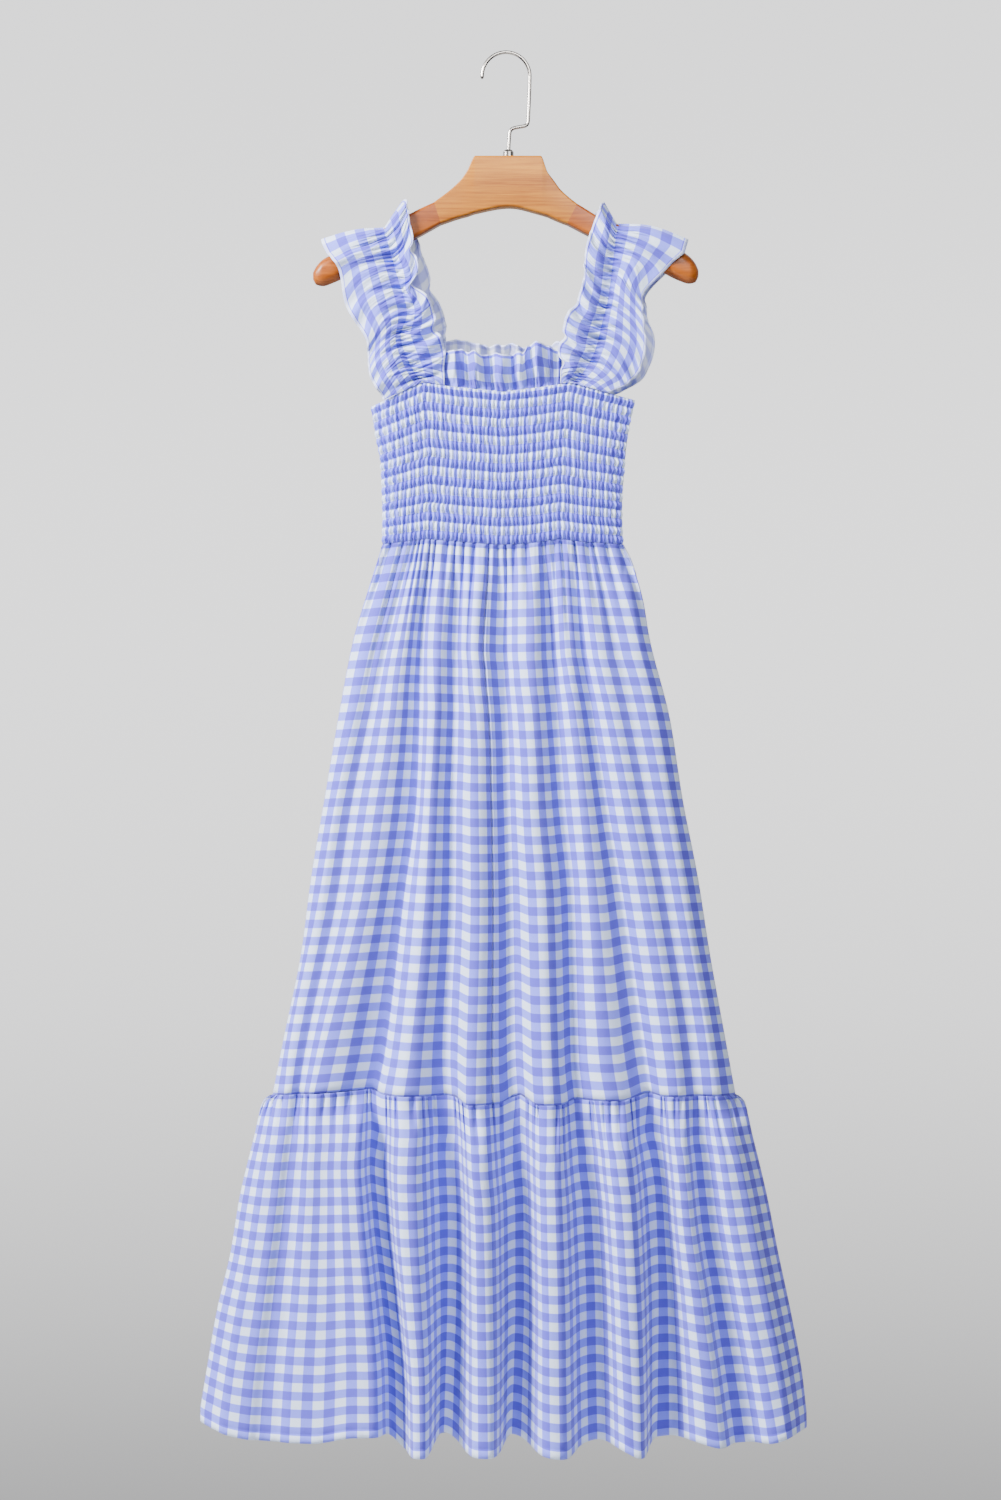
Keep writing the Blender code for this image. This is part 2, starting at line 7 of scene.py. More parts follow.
import bpy
import numpy as np
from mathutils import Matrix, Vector

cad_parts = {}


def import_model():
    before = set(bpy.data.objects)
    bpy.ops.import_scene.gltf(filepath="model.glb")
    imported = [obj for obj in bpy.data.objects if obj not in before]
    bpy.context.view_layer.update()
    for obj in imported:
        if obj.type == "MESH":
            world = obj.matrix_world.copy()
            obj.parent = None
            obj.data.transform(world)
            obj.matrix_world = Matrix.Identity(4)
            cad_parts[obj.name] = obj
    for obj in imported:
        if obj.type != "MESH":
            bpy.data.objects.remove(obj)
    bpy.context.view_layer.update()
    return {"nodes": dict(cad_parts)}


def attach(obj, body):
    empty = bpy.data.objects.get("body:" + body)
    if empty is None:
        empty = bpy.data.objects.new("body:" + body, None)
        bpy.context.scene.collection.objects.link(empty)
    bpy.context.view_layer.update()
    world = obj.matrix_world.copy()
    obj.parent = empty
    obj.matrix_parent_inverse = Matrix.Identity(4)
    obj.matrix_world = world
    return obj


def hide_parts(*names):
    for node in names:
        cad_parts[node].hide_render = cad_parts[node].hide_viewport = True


MM = 0.001
THICK = 0.9             # one layer of the fine cloth
RUFFLE_THICK = 0.8      # one layer of the ruffles, the straps and the shirring
CHECK = 0.0184          # one repeat of the gingham, metres
WEAVE = 0.0006          # one repeat of its threads, metres

WAIST_Z = -510.0
BODICE_SIDE_Z = -366.0  # the bodice's top at its sides, where its width is read
BODICE_DEPTH = 13.0
TURN_DEPTH = 8.0        # below it the bodice turns towards its side edge
BODICE_FLAT = (0.53, 0.165)
PUCKERS = 58            # across one side of the bodice
SHIRRING_ROWS = 17
SKIRT_DROP = 576.0
SKIRT_CLOTH = 0.586     # the skirt's cloth down its folds, metres
SKIRT_SEAM = -17.2      # the join between the skirt's two front panels
FLOUNCE_DROP = 354.0
FLOUNCE_CLOTH = 0.362
HEM_WIDTH = 9.0
SEAM_GAP = 0.3          # between the pieces that a seam joins
EDGE_LIFT = 0.4         # of ruffles and straps above the bodice's top edge

BODICE_SIDES = [
    (-364, -141, 134),
    (-396, -136, 127),
    (-428, -130.5, 123),
    (-480, -129, 120),
    (-510, -129, 121),
]
SKIRT_SIDES = [
    (-510, -129, 121),
    (-526, -134, 129),
    (-568, -147, 142),
    (-609, -159, 149),
    (-693, -175, 170),
    (-776, -189, 183),
    (-859, -203, 199),
    (-942, -214, 212),
    (-1025, -231, 227),
    (-1086, -243, 238),
]
FLOUNCE_SIDES = [
    (-1086, -243, 238),
    (-1094, -253, 247),
    (-1129, -262, 256),
    (-1192, -277, 271),
    (-1254, -287, 283),
    (-1317, -301, 296),
    (-1379, -311, 307),
    (-1425, -318, 312),
]
BODICE_TOP = [(-142, -368), (-87, -343), (-53, -348), (-3, -353), (37, -348), (66, -343), (98, -352),
              (136, -361)]
BODICE_TOP_BACK = [(-142, -368), (-84, -341), (-53, -340), (-3, -343), (37, -340), (69, -341), (98, -350),
                   (136, -361)]
WAIST = [(-129, -510), (-83, -505), (-37, -509), (-8, -511), (21, -510), (55, -505), (79, -508), (121, -510)]
TIER = [(-243, -1081), (-140, -1075), (-130, -1080), (-54, -1081), (-40, -1089), (-7, -1089), (14, -1080),
        (32, -1089), (58, -1089), (70, -1085), (120, -1085), (146, -1078), (162, -1081), (240, -1081)]
TIER_BACK = [(-243, -1081), (0, -1084), (240, -1081)]
HEM = [(-318, -1420), (-282, -1431), (-244, -1436), (-200, -1437), (-154, -1430), (-128, -1430),
       (-104, -1448), (-84, -1448), (-66, -1432), (-36, -1447), (-8, -1447), (5, -1434), (36, -1446),
       (62, -1449), (76, -1443), (96, -1438), (117, -1441), (140, -1449), (157, -1437), (191, -1434),
       (222, -1440), (264, -1438), (312, -1426)]
HEM_BACK = [(-318, -1420), (-270, -1436), (-200, -1444), (-120, -1440), (0, -1436), (110, -1438),
            (220, -1436), (312, -1426)]

# Folds: strength (ridge above 0, trough below), then x at each level
SKIRT_LEVELS = (-510, -609, -776, -880, -1046, -1086)
SKIRT_FOLDS = [
    (0.5, -114, -138, -177, -195, -227, -231),
    (-0.15, -101, -122, -158, -174, -208, -214),
    (0.5, -90, -107, -133, -149, -189, -198),
    (-1.0, -78, -88, -93, -106, -126, -134),
    (0.9, -63, -71, -79, -84, -100, -106),
    (-0.7, -49, -53, -57, -58, -64, -62),
    (0.9, -31, -33, -32, -31, -35, -36),
    (-1.0, -6, -3, 0, 2, 4, 6),
    (1.0, 19, 25, 28, 36, 42, 44),
    (-0.8, 39, 48, 57, 67, 70, 74),
    (0.7, 54, 62, 78, 88, 101, 108),
    (-0.6, 65, 78, 101, 118, 142, 148),
    (0.7, 79, 95, 126, 146, 172, 176),
    (0.1, 92, 114, 146, 166, 192, 196),
    (0.6, 106, 133, 166, 184, 212, 216),
]
SKIRT_FOLDS_BACK = [
    (0.5, -108, -130, -165, -183, -210, -216),
    (-0.7, -84, -101, -128, -145, -166, -170),
    (0.8, -58, -70, -90, -100, -118, -122),
    (-0.6, -32, -38, -50, -57, -66, -70),
    (0.7, -5, -8, -10, -12, -12, -12),
    (-0.9, 22, 26, 34, 40, 46, 48),
    (0.8, 50, 60, 78, 88, 102, 108),
    (-0.7, 74, 90, 116, 130, 152, 158),
    (0.6, 100, 122, 156, 172, 200, 206),
]
FLOUNCE_LEVELS = (-1086, -1150, -1213, -1296, -1379, -1440)
FLOUNCE_FOLDS = [
    (0.3, -231, -238, -246, -258, -270, -276),
    (0.0, -214, -219, -225, -234, -242, -246),
    (0.2, -198, -200, -203, -208, -214, -217),
    (0.35, -154, -156, -153, -146, -141, -140),
    (-1.0, -134, -135, -131, -121, -113, -112),
    (0.9, -106, -105, -103, -97, -91, -90),
    (-1.0, -62, -58, -56, -57, -60, -62),
    (1.0, -36, -30, -26, -24, -22, -21),
    (-1.0, 6, 9, 11, 11, 9, 7),
    (0.9, 44, 45, 46, 48, 49, 50),
    (-0.8, 74, 80, 85, 88, 89, 90),
    (0.8, 108, 117, 122, 127, 131, 133),
    (-1.0, 148, 154, 158, 160, 159, 158),
    (0.6, 176, 180, 185, 197, 208, 214),
    (-0.35, 196, 200, 206, 220, 234, 243),
    (0.6, 216, 230, 241, 257, 274, 285),
]
FLOUNCE_FOLDS_BACK = [
    (0.6, -216, -222, -232, -246, -260, -268),
    (-0.7, -170, -174, -180, -190, -200, -206),
    (0.9, -122, -126, -130, -134, -140, -144),
    (-0.8, -70, -72, -76, -80, -84, -86),
    (0.8, -12, -12, -14, -16, -18, -20),
    (-0.9, 48, 50, 54, 58, 62, 64),
    (0.9, 108, 110, 116, 122, 128, 132),
    (-0.7, 158, 162, 170, 182, 194, 200),
    (0.6, 206, 212, 222, 238, 254, 262),
]
# height, front depth, back depth, front fold, back fold
SKIRT_DEPTHS = [
    (-510, 13, 13, 0, 0),
    (-530, 14, 14, 5, 4),
    (-560, 16, 15, 6.5, 6),
    (-650, 19, 17, 7.5, 8),
    (-800, 23, 20, 9, 10),
    (-1086, 27, 23, 12.5, 12),
    (-1150, 31, 26, 22, 16),
    (-1440, 34, 28, 27, 18),
]

# Stations up a strap's front leg: outer x, z, gathering x, z, inner x, z, depth
STRAP_LEFT = [
    (-128, -361.2, -87, -343.0, -64, -345.8, 11.5),
    (-143, -328, -98, -326, -64, -318, 13),
    (-146, -302, -109, -295, -69, -293, 14),
    (-167, -265, -102, -271, -75, -267, 15),
    (-176, -226, -113, -230, -89, -227, 16),
    (-186, -211, -123, -194, -99, -172, 16),
]
STRAP_RIGHT = [
    (107, -353.7, 66, -344.0, 56, -345.0, 11.5),
    (134, -338, 80, -330, 55, -320, 13),
    (146, -303, 92, -306, 56, -293, 14),
    (142, -276, 99, -278, 63, -272, 15),
    (139, -256, 105, -254, 77, -242, 15.5),
    (165, -226, 109, -220, 81, -215, 16),
    (186, -210, 112, -192, 94, -172, 16),
]
# The same six places at the top of the arm
CREST_LEFT = (-191, -196, -127, -181.2, -110, -155)
CREST_RIGHT = (190, -194, 115, -177.4, 101, -155)
SEAT_DEPTH = 16.0
LEG_END = 0.86          # where a strap turns over the arm, as a share of its leg
STRAP_LEG = 190.0
STRAP_FULLNESS = 1.4
STRAP_OUTER = 60        # cloth on the two sides of the gathering line
STRAP_INNER = 30
INNER_FADE = 42         # the inner edge's distance from the line, for the gathers' fading
# Notches in a strap's inner edge, where one wave ends behind the next: height, depth, half width
NOTCHES_LEFT = [(-205, 5, 6), (-241, 13, 8), (-287, 5, 6)]
NOTCHES_RIGHT = [(-262, 4, 6), (-296, 5, 5), (-322, 4, 5)]
RUFFLE_FULLNESS = 1.35
RUFFLE_DROP = 42.0
RUFFLE_SUNK = 4.5       # depth at the ruffle's ends, which lie behind the straps
# Places of the deep folds of the neck ruffles
NECK_FOLDS = [-44, -19, 3, 22, 40, 49]
NECK_FOLDS_BACK = [-46, -30, -12, 10, 20, 40]

NECK_FRONT = [(-65, -309), (-61, -308), (-46, -307), (-25, -312), (4, -312), (17, -310), (19, -302),
              (29, -299), (53, -305), (57, -306)]
NECK_BACK = [(-64, -296), (-58, -294), (-42, -294), (-25, -300), (4, -298), (24, -301), (52, -297),
             (58, -298)]

# Wood bars: x, top, bottom, half depth, edge radius
BODY_BAR = [
    (-71.7, -155.2, -177.4, 9, 2.5),
    (-54, -140, -172, 9, 2.5),
    (-41, -123, -168.8, 9, 2.5),
    (-33.6, -107.8, -166.2, 9, 2.5),
    (-32.6, -107, -165.9, 9, 2.5),
    (3, -107, -160, 9, 2.5),
    (35.6, -107, -167, 9, 2.5),
    (36.6, -107.8, -167.3, 9, 2.5),
    (42, -122.5, -169, 9, 2.5),
    (48, -133.5, -170.8, 9, 2.5),
    (53, -142, -172.5, 9, 2.5),
    (62, -151.5, -175.6, 9, 2.5),
    (68.2, -156.8, -177.6, 9, 2.5),
]
ARM_BAR_LEFT = [
    (-71.7, -155.2, -177.4, 9, 2.5),
    (-98, -165.8, -194, 9.6, 4.5),
    (-130, -183, -212, 10.3, 7),
    (-160, -198, -228, 11, 9),
    (-180, -208, -238, 11.5, 11),
    (-191, -214, -241.5, 11, 11),
    (-198, -221.5, -240, 8.5, 9),
    (-201, -227, -235, 4, 4),
]
ARM_BAR_RIGHT = [
    (68.2, -156.8, -177.6, 9, 2.5),
    (95, -169.5, -194, 9.6, 4.5),
    (130, -184, -211, 10.3, 7),
    (160, -196, -226, 11, 9),
    (180, -204, -236, 11.5, 11),
    (190, -210.5, -239, 11, 11),
    (196.5, -218, -237.5, 8.5, 9),
    (199.5, -224.5, -232, 4, 4),
]

# The two tiers: outline, levels of the folds, height, cloth down the folds in metres, how close the
# rows are near the seam, how narrow the troughs are, slow unevenness and turned hem
SKIRT = (SKIRT_SIDES, SKIRT_LEVELS, SKIRT_DROP, SKIRT_CLOTH, 0.45, 1, 2.0, 0.0)
FLOUNCE = (FLOUNCE_SIDES, FLOUNCE_LEVELS, FLOUNCE_DROP, FLOUNCE_CLOTH, 0.35, 0.1, 1.6, HEM_WIDTH)

# Blue, half blue and white of the cloth's right side
FACE_COLOURS = ((0.095, 0.08, 0.66, 1), (0.20, 0.225, 0.96, 1), (0.665, 0.77, 0.98, 1))
PIXEL = 1.04            # one pixel of the photograph, mm
CAMERA_AWAY = 3.2       # metres
VIEW_HEIGHT = 1.56
FLOOR_Z = -1.9
FLOOR_HALF = 1.6


def smooth_table(keys, values, at):
    """Monotone smooth interpolation of a column over sorted keys."""
    keys = np.asarray(keys, float)
    values = np.asarray(values, float)
    if keys[0] > keys[-1]:
        keys, values = keys[::-1], values[::-1]
    step = np.diff(keys)
    slope = np.diff(values) / step
    tangent = np.zeros(len(keys))
    tangent[0], tangent[-1] = slope[0], slope[-1]
    for i in range(1, len(keys) - 1):
        if slope[i - 1] * slope[i] > 0:
            tangent[i] = 2 / (1 / slope[i - 1] + 1 / slope[i])
    at = np.clip(at, keys[0], keys[-1])
    k = np.clip(np.searchsorted(keys, at) - 1, 0, len(keys) - 2)
    t = (at - keys[k]) / step[k]
    a = 2 * t ** 3 - 3 * t ** 2 + 1
    b = t ** 3 - 2 * t ** 2 + t
    c = -2 * t ** 3 + 3 * t ** 2
    d = t ** 3 - t ** 2
    return a * values[k] + b * step[k] * tangent[k] + c * values[k + 1] + d * step[k] * tangent[k + 1]


def column(table, index, at):
    return smooth_table([row[0] for row in table], [row[index] for row in table], at)


def soft_noise(positions, cell, seed):
    """Smooth noise from -1 to 1 along one direction, a new value every cell."""
    values = np.random.RandomState(seed).uniform(-1, 1, 400)
    p = np.asarray(positions) / cell + 57.3
    k = np.floor(p).astype(int)
    t = p - k
    t = t * t * (3 - 2 * t)
    return values[k % 400] * (1 - t) + values[(k + 1) % 400] * t


def grid_normals(points):
    down = np.gradient(points, axis=0)
    across = np.gradient(points, axis=1)
    n = np.cross(down, across)
    return n / np.maximum(np.linalg.norm(n, axis=2, keepdims=True), 1e-9)


def add_object(name, data):
    thing = bpy.data.objects.new(name, data)
    bpy.context.scene.collection.objects.link(thing)
    return thing


def cloth_object(name, outer, uv, outward, mats, thick=THICK, inner=None, hems=(), painted_backlit_rows=None):
    """A thin closed shell: the outer grid, the same grid moved inward, and its rim.

    uv is in metres of flat cloth; outward is 1 where down x across points outward.
    mats are the right side, the wrong side and the turned edge that hems names, then the
    two sides where light comes through, whose paler colours paint the light from behind; the last argument is
    the first row that uses them.
    """
    rows, cols = outer.shape[:2]
    if inner is None:
        inner = outer - outward * thick * grid_normals(outer)
    points = np.concatenate([outer.reshape(-1, 3), inner.reshape(-1, 3)]) * MM
    idx = np.arange(rows * cols).reshape(rows, cols)
    quads = np.stack([idx[:-1, :-1], idx[1:, :-1], idx[1:, 1:], idx[:-1, 1:]], axis=-1).reshape(-1, 4)
    flip = outward < 0
    front = quads[:, ::-1] if flip else quads
    back = (quads if flip else quads[:, ::-1]) + rows * cols
    edge = np.concatenate([idx[0, :], idx[1:, -1], idx[-1, ::-1][1:], idx[::-1, 0][1:]])
    a, b = edge[:-1], edge[1:]
    rim = np.stack([a, b, b + rows * cols, a + rows * cols], axis=-1)
    if flip:
        rim = rim[:, ::-1]
    faces = np.concatenate([front, back, rim])
    mesh = bpy.data.meshes.new(name)
    mesh.vertices.add(len(points))
    mesh.vertices.foreach_set("co", points.astype(np.float32).ravel())
    mesh.loops.add(faces.size)
    mesh.loops.foreach_set("vertex_index", faces.ravel().astype(np.int32))
    mesh.polygons.add(len(faces))
    mesh.polygons.foreach_set("loop_start", np.arange(0, faces.size, 4, dtype=np.int32))
    layer_slots = np.zeros((rows - 1, cols - 1), np.int32)
    back_slots = np.ones((rows - 1, cols - 1), np.int32)
    if painted_backlit_rows is not None:
        # From this row on, the slots of the paler copies, painted as lit from behind
        layer_slots[painted_backlit_rows:] = 3
        back_slots[painted_backlit_rows:] = 4
    for place in (layer_slots, back_slots):
        if "first column" in hems:
            place[:, 0] = 2
        if "last column" in hems:
            place[:, -1] = 2
        if "first row" in hems:
            place[0] = 2
    rim_slots = np.full(len(rim), 2 if hems else 1, np.int32)
    slots = np.concatenate([layer_slots.ravel(), back_slots.ravel(), rim_slots])
    mesh.polygons.foreach_set("material_index", slots)
    mesh.polygons.foreach_set("use_smooth", np.ones(len(faces), bool))
    mesh.update(calc_edges=True)
    layer = mesh.uv_layers.new(name="cloth")
    both = np.concatenate([uv.reshape(-1, 2), uv.reshape(-1, 2)])
    layer.data.foreach_set("uv", both[faces.ravel()].astype(np.float32).ravel())
    mesh.validate()
    for use in mats:
        mesh.materials.append(use)
    return add_object(name, mesh)


def flat_section(power, count=801):
    a = np.pi * np.linspace(0, 1, count)
    side = -np.sign(np.cos(a)) * np.abs(np.cos(a)) ** (2 / power)
    return side, np.sin(a).clip(0) ** (2 / power)


def bodice(name, side, cols, rows_per_band, top, seed, mats):
    """Shirred tube: puckers stand out between seventeen stitched rows."""
    rows = SHIRRING_ROWS * rows_per_band + 1
    u = np.linspace(0, 1, cols)
    v = np.linspace(0, 1, rows)
    s_fine, d_fine = flat_section(2.6)
    points = np.zeros((rows, cols, 3))
    z_side = BODICE_SIDE_Z + (WAIST_Z - BODICE_SIDE_Z) * v
    left = column(BODICE_SIDES, 1, z_side)
    right = column(BODICE_SIDES, 2, z_side)
    half = (right - left) / 2
    length = np.hypot(np.diff(s_fine) * 125, np.diff(d_fine) * BODICE_DEPTH)
    total = np.concatenate([[0], np.cumsum(length)])
    s = np.interp(u * total[-1], total, s_fine)
    depth = np.interp(u * total[-1], total, d_fine) * BODICE_DEPTH
    x = (left + right)[:, None] / 2 + s[None, :] * half[:, None]
    z_top = np.interp(x[0], *zip(*top))
    z_low = np.interp(x[-1], *zip(*WAIST))
    z = z_top[None, :] + (z_low - z_top)[None, :] * v[:, None]
    band = v * SHIRRING_ROWS
    swell = np.abs(np.sin(np.pi * band))
    # Each band's puckers drift a little from the band above
    drift = np.zeros((SHIRRING_ROWS + 2, cols))
    size = np.zeros((SHIRRING_ROWS + 2, cols))
    place = u * PUCKERS
    for k in range(SHIRRING_ROWS + 2):
        drift[k] = 0.34 * soft_noise(place, 2.2, seed + k) + 0.22 * soft_noise(place, 7, seed + 40 + k)
        size[k] = 1 + 0.3 * soft_noise(place, 1.6, seed + 80 + k)
    at = np.clip(band - 0.5, 0, SHIRRING_ROWS)
    k = np.floor(at).astype(int)
    t = (at - k)[:, None]
    t = t * t * (3 - 2 * t)
    lean = 0.16 * np.clip(1.4 - 2 * u, -0.2, 1)
    moved = drift[k] * (1 - t) + drift[k + 1] * t
    phase = 2 * np.pi * (PUCKERS * u[None, :] + moved + lean * band[:, None])
    tall = size[k] * (1 - t) + size[k + 1] * t
    wave = (0.5 + 0.5 * np.cos(phase)) ** 0.8
    fade = np.clip(np.minimum(u, 1 - u) / 0.012, 0, 1)[None, :]
    relief = 3.6 * tall * (0.45 + 0.55 * swell[:, None]) * wave - 1.6 + 0.7 * swell[:, None]
    edge = np.clip(np.minimum(v, 1 - v) / 0.012, 0.35, 1)[:, None]
    relief = relief * fade * edge
    # Puckers near the side edges also stand out sideways
    outward = np.stack([s * (depth < TURN_DEPTH) * 0.7, np.full(cols, 1.0), np.zeros(cols)], axis=-1)
    outward[:, 1] *= side
    outward /= np.linalg.norm(outward, axis=1, keepdims=True)
    points[..., 0] = x
    points[..., 1] = side * (depth[None, :] + 0.1)
    points[..., 2] = z
    points += outward[None] * relief[..., None]
    points[..., 1] = np.where(side * points[..., 1] < 0.1, side * 0.1, points[..., 1])
    inner = points - outward[None] * RUFFLE_THICK
    inner[:, 0, 1] = points[:, 0, 1]
    inner[:, -1, 1] = points[:, -1, 1]
    uv = np.zeros((rows, cols, 2))
    uv[..., 0] = u[None, :] * BODICE_FLAT[0] - 0.0009 * np.sin(phase)
    uv[..., 1] = ((0.75 + band / 2 - 0.2 * np.exp(-4 * band ** 2)) * CHECK)[:, None]
    return cloth_object(name, points, uv, -side, mats, inner=inner), points


def groove(shape_from, shape_to, t, crease):
    """Rounded ridges and troughs between two folds; crease 1 makes the troughs narrow."""
    t = t - (1 - crease) * 0.6 * np.sin(2 * np.pi * t) / (2 * np.pi)
    wave = 0.5 - 0.5 * np.cos(np.pi * t)
    quick = np.sin(np.pi / 2 * t)
    slow = 1 - np.cos(np.pi / 2 * t)
    rising = shape_to > shape_from
    creased = np.where(rising, quick, slow)
    share = crease * np.where(rising, 0.75, 0.3) * np.clip(np.abs(shape_to - shape_from), 0, 1)
    ease = wave * (1 - share) + creased * share
    shape = shape_from * (1 - ease) + shape_to * ease
    return np.where(shape < 0, (1.1 + 0.25 * crease) * shape, shape)


def fold_surface(sides, levels, folds, side, rows_v, cloth_u, top, bottom, above, crease):
    """Grid of a hanging panel; columns follow the cloth's own threads.

    cloth_u runs 0 to 1 across the cloth. Returns points and the width along the cloth.
    """
    strength = np.array([0.0] + [fold[0] for fold in folds] + [0.0])
    z_level = levels[0] + (levels[-1] - levels[0]) * rows_v
    tracks = np.zeros((len(rows_v), len(folds) + 2))
    tracks[:, 0] = column(sides, 1, z_level)
    tracks[:, -1] = column(sides, 2, z_level)
    for i, fold in enumerate(folds):
        tracks[:, i + 1] = smooth_table(levels, fold[1:], z_level)
    fine = np.linspace(0, len(folds) + 1, 40 * (len(folds) + 1) + 1)
    column_depth = 1 if side < 0 else 2
    mean = column(SKIRT_DEPTHS, column_depth, z_level)
    height = column(SKIRT_DEPTHS, column_depth + 2, z_level)

    def between(places):
        """The fold before each place, how far x is towards the next, and the fold's shape."""
        k = np.minimum(places.astype(int), len(folds))
        t = places - k
        t_x = np.where(k == 0, t ** 1.7, np.where(k == len(folds), 1 - (1 - t) ** 1.7, t))
        return k, t_x, groove(strength[k], strength[k + 1], t, crease)

    def depth_at(row_x, row_shape, left, right, mean, height):
        s = np.abs(2 * (row_x - left) / (right - left) - 1).clip(0, 1)
        flat = (1 - s ** 3.2).clip(0) ** (1 / 3.2)
        return mean * flat + height * row_shape * np.clip((1 - s) / 0.08, 0, 1)

    # Thread places: equal steps of cloth at two thirds of the drop
    ref = int(0.66 * (len(rows_v) - 1))
    k, t_x, shape = between(fine)
    x_ref = tracks[ref, k] * (1 - t_x) + tracks[ref, k + 1] * t_x
    d_ref = depth_at(x_ref, shape, x_ref[0], x_ref[-1], mean[ref], height[ref])
    arc = np.concatenate([[0], np.cumsum(np.hypot(np.diff(x_ref), np.diff(d_ref)))])
    k, t_x, shape = between(np.interp(cloth_u * arc[-1], arc, fine))
    x = tracks[:, k] * (1 - t_x)[None, :] + tracks[:, k + 1] * t_x[None, :]
    depth = depth_at(x, shape[None, :], x[:, :1], x[:, -1:], mean[:, None], height[:, None])
    # The first tenth of the drop leaves the shape of the edge above
    t = np.clip(rows_v / 0.1, 0, 1)[:, None]
    t = 0.5 - 0.5 * np.cos(np.pi * t)
    depth = np.interp(x, above[0], above[1]) * (1 - t) + depth * t
    z_top = np.interp(x[0], *zip(*top))
    z_low = smooth_table(*zip(*bottom), x[-1])
    # The unevenness of each edge dies out away from it, so the checks run nearly level between
    share = rows_v[:, None]
    z = z_top.mean() * (1 - share) + z_low.mean() * share
    z = z + (z_top - z_top.mean()) * (1 - share) ** 1.9 + (z_low - z_low.mean()) * share ** 1.9
    points = np.stack([x, side * (depth + 0.1), z], axis=-1)
    return points, arc[-1]


def gather(points, across, drop, count, seed, long, half, hidden, longer=0.25, at=None):
    """Draws a sheet into narrow pleats beside a seam, each fading at its own length.

    across is the cloth's own width in mm, drop the distance of each row from the seam, at
    the pleats' own places where they are known.
    The cloth between two pleats keeps its size; the pleats take in the rest. Returns how
    far each point is pressed in, from 0 to about 1.
    """
    local = np.random.RandomState(seed)
    width = across[-1]
    places = width * (np.arange(count) + 0.5 + local.uniform(-0.33, 0.33, count)) / count
    if at is not None:
        places = np.array(at, float)
    lengths = long * local.uniform(0.6, 1.0, count)
    lengths[local.uniform(0, 1, count) < longer] *= 1.7
    leans = local.uniform(-2, 2, count)
    sizes = local.uniform(0.7, 1.15, count)
    tight = np.zeros(points.shape[:2])
    press = np.zeros(points.shape[:2])
    for place, length, lean, size in zip(places, lengths, leans, sizes):
        reach = np.clip(drop / length, 0, 1)
        fade = size * (1 - reach) ** 1.2
        centre = place + lean * reach
        off = (across[None, :] - centre[:, None]) / (half * (1 + 0.8 * reach))[:, None]
        bump = np.exp(-off ** 2)
        tight += fade[:, None] * bump
        press += fade[:, None] * (bump ** 1.6 + 0.2 * bump ** 0.35)
    speed = 1 - hidden * np.clip(tight, 0, 1)
    step = 0.5 * (speed[:, 1:] + speed[:, :-1]) * np.diff(across)[None, :]
    moved = np.concatenate([np.zeros((len(drop), 1)), np.cumsum(step, axis=1)], axis=1)
    moved *= width / moved[:, -1:]
    for row in range(len(drop)):
        for i in range(3):
            points[row, :, i] = np.interp(moved[row], across, points[row, :, i])
    return press * np.clip(np.minimum(across, width - across) / 8, 0, 1)[None, :]


def draw_in(points, side, press, deep, drop):
    """Presses a hanging panel's pleats in, from nothing at the seam itself."""
    depth = side * points[..., 1] - deep * press * np.clip(drop / 4, 0.15, 1)[:, None]
    points[..., 1] = side * np.maximum(depth, 0.1)


def row_places(near, length, count, hem=0.0):
    """Rows closer together near the seam above, and a few at a turned hem."""
    t = np.linspace(0, 1, count)
    t = near * t + (1 - near) * t ** 2
    if not hem:
        return t
    last = 1 - np.array([hem + 1, hem, hem - 1, hem / 2, 0]) / length
    return np.concatenate([t[t < last[0] - 2 / length], last])


def turned_hem(points, side, drop, hem):
    """A doubled band under a stitched line that draws the cloth in a little."""
    up = drop[-1] - drop
    band = 0.5 * (up < hem - 0.5) - 0.5 * (np.abs(up - hem) < 0.5)
    pull = 0.35 * soft_noise(points[-1, :, 0], 6, 71)
    points[..., 1] += side * (band[:, None] + (up < hem + 0.5)[:, None] * pull[None, :])


def bunches(points, side, z_fade, amount, cell, seed):
    """Slow unevenness in depth, so that no fold is a plain copy of the next."""
    x = points[..., 0]
    z = points[..., 2]
    lump = soft_noise(x / cell + 0.35 * soft_noise(z, 90, seed + 1), 1.0, seed)
    lump = lump * (0.6 + 0.4 * soft_noise(z, 140, seed + 2))
    width = x.max(axis=1, keepdims=True) - x.min(axis=1, keepdims=True)
    inside = np.minimum(x - x.min(axis=1, keepdims=True), x.max(axis=1, keepdims=True) - x)
    edge = np.clip(inside / (0.06 * width), 0, 1)
    points[..., 1] += side * amount * lump * edge * z_fade[:, None]


def panel(tier, above, side, folds, top, bottom, cols, rows, cell, seed, pleats, deep):
    """One hanging panel below the grid above it.

    cell and seed are those of the slow unevenness, pleats the last arguments of gather, deep
    how far the pleats go in. Returns the grid, its cloth places in metres, and the distances
    across the cloth and down from the seam in mm.
    """
    sides, levels, length, cloth, near, crease, lumps, hem = tier
    u = np.linspace(0, 1, cols)
    v = row_places(near, length, rows, hem)
    rim = (above[-1, :, 0], np.abs(above[-1, :, 1]))
    low = [(x, z - SEAM_GAP) for x, z in top]
    points, width = fold_surface(sides, levels, folds, side, v, u, low, bottom, rim, crease)
    bunches(points, side, np.clip(v / 0.2, 0, 1), lumps, cell, seed)
    across, drop = u * width, v * length
    draw_in(points, side, gather(points, across, drop, *pleats), deep, drop)
    if hem:
        turned_hem(points, side, drop, hem)
    uv = np.zeros(points.shape[:2] + (2,))
    uv[..., 0] = (across * MM)[None, :]
    uv[..., 1] = (v * cloth)[:, None]
    return points, uv, across, drop


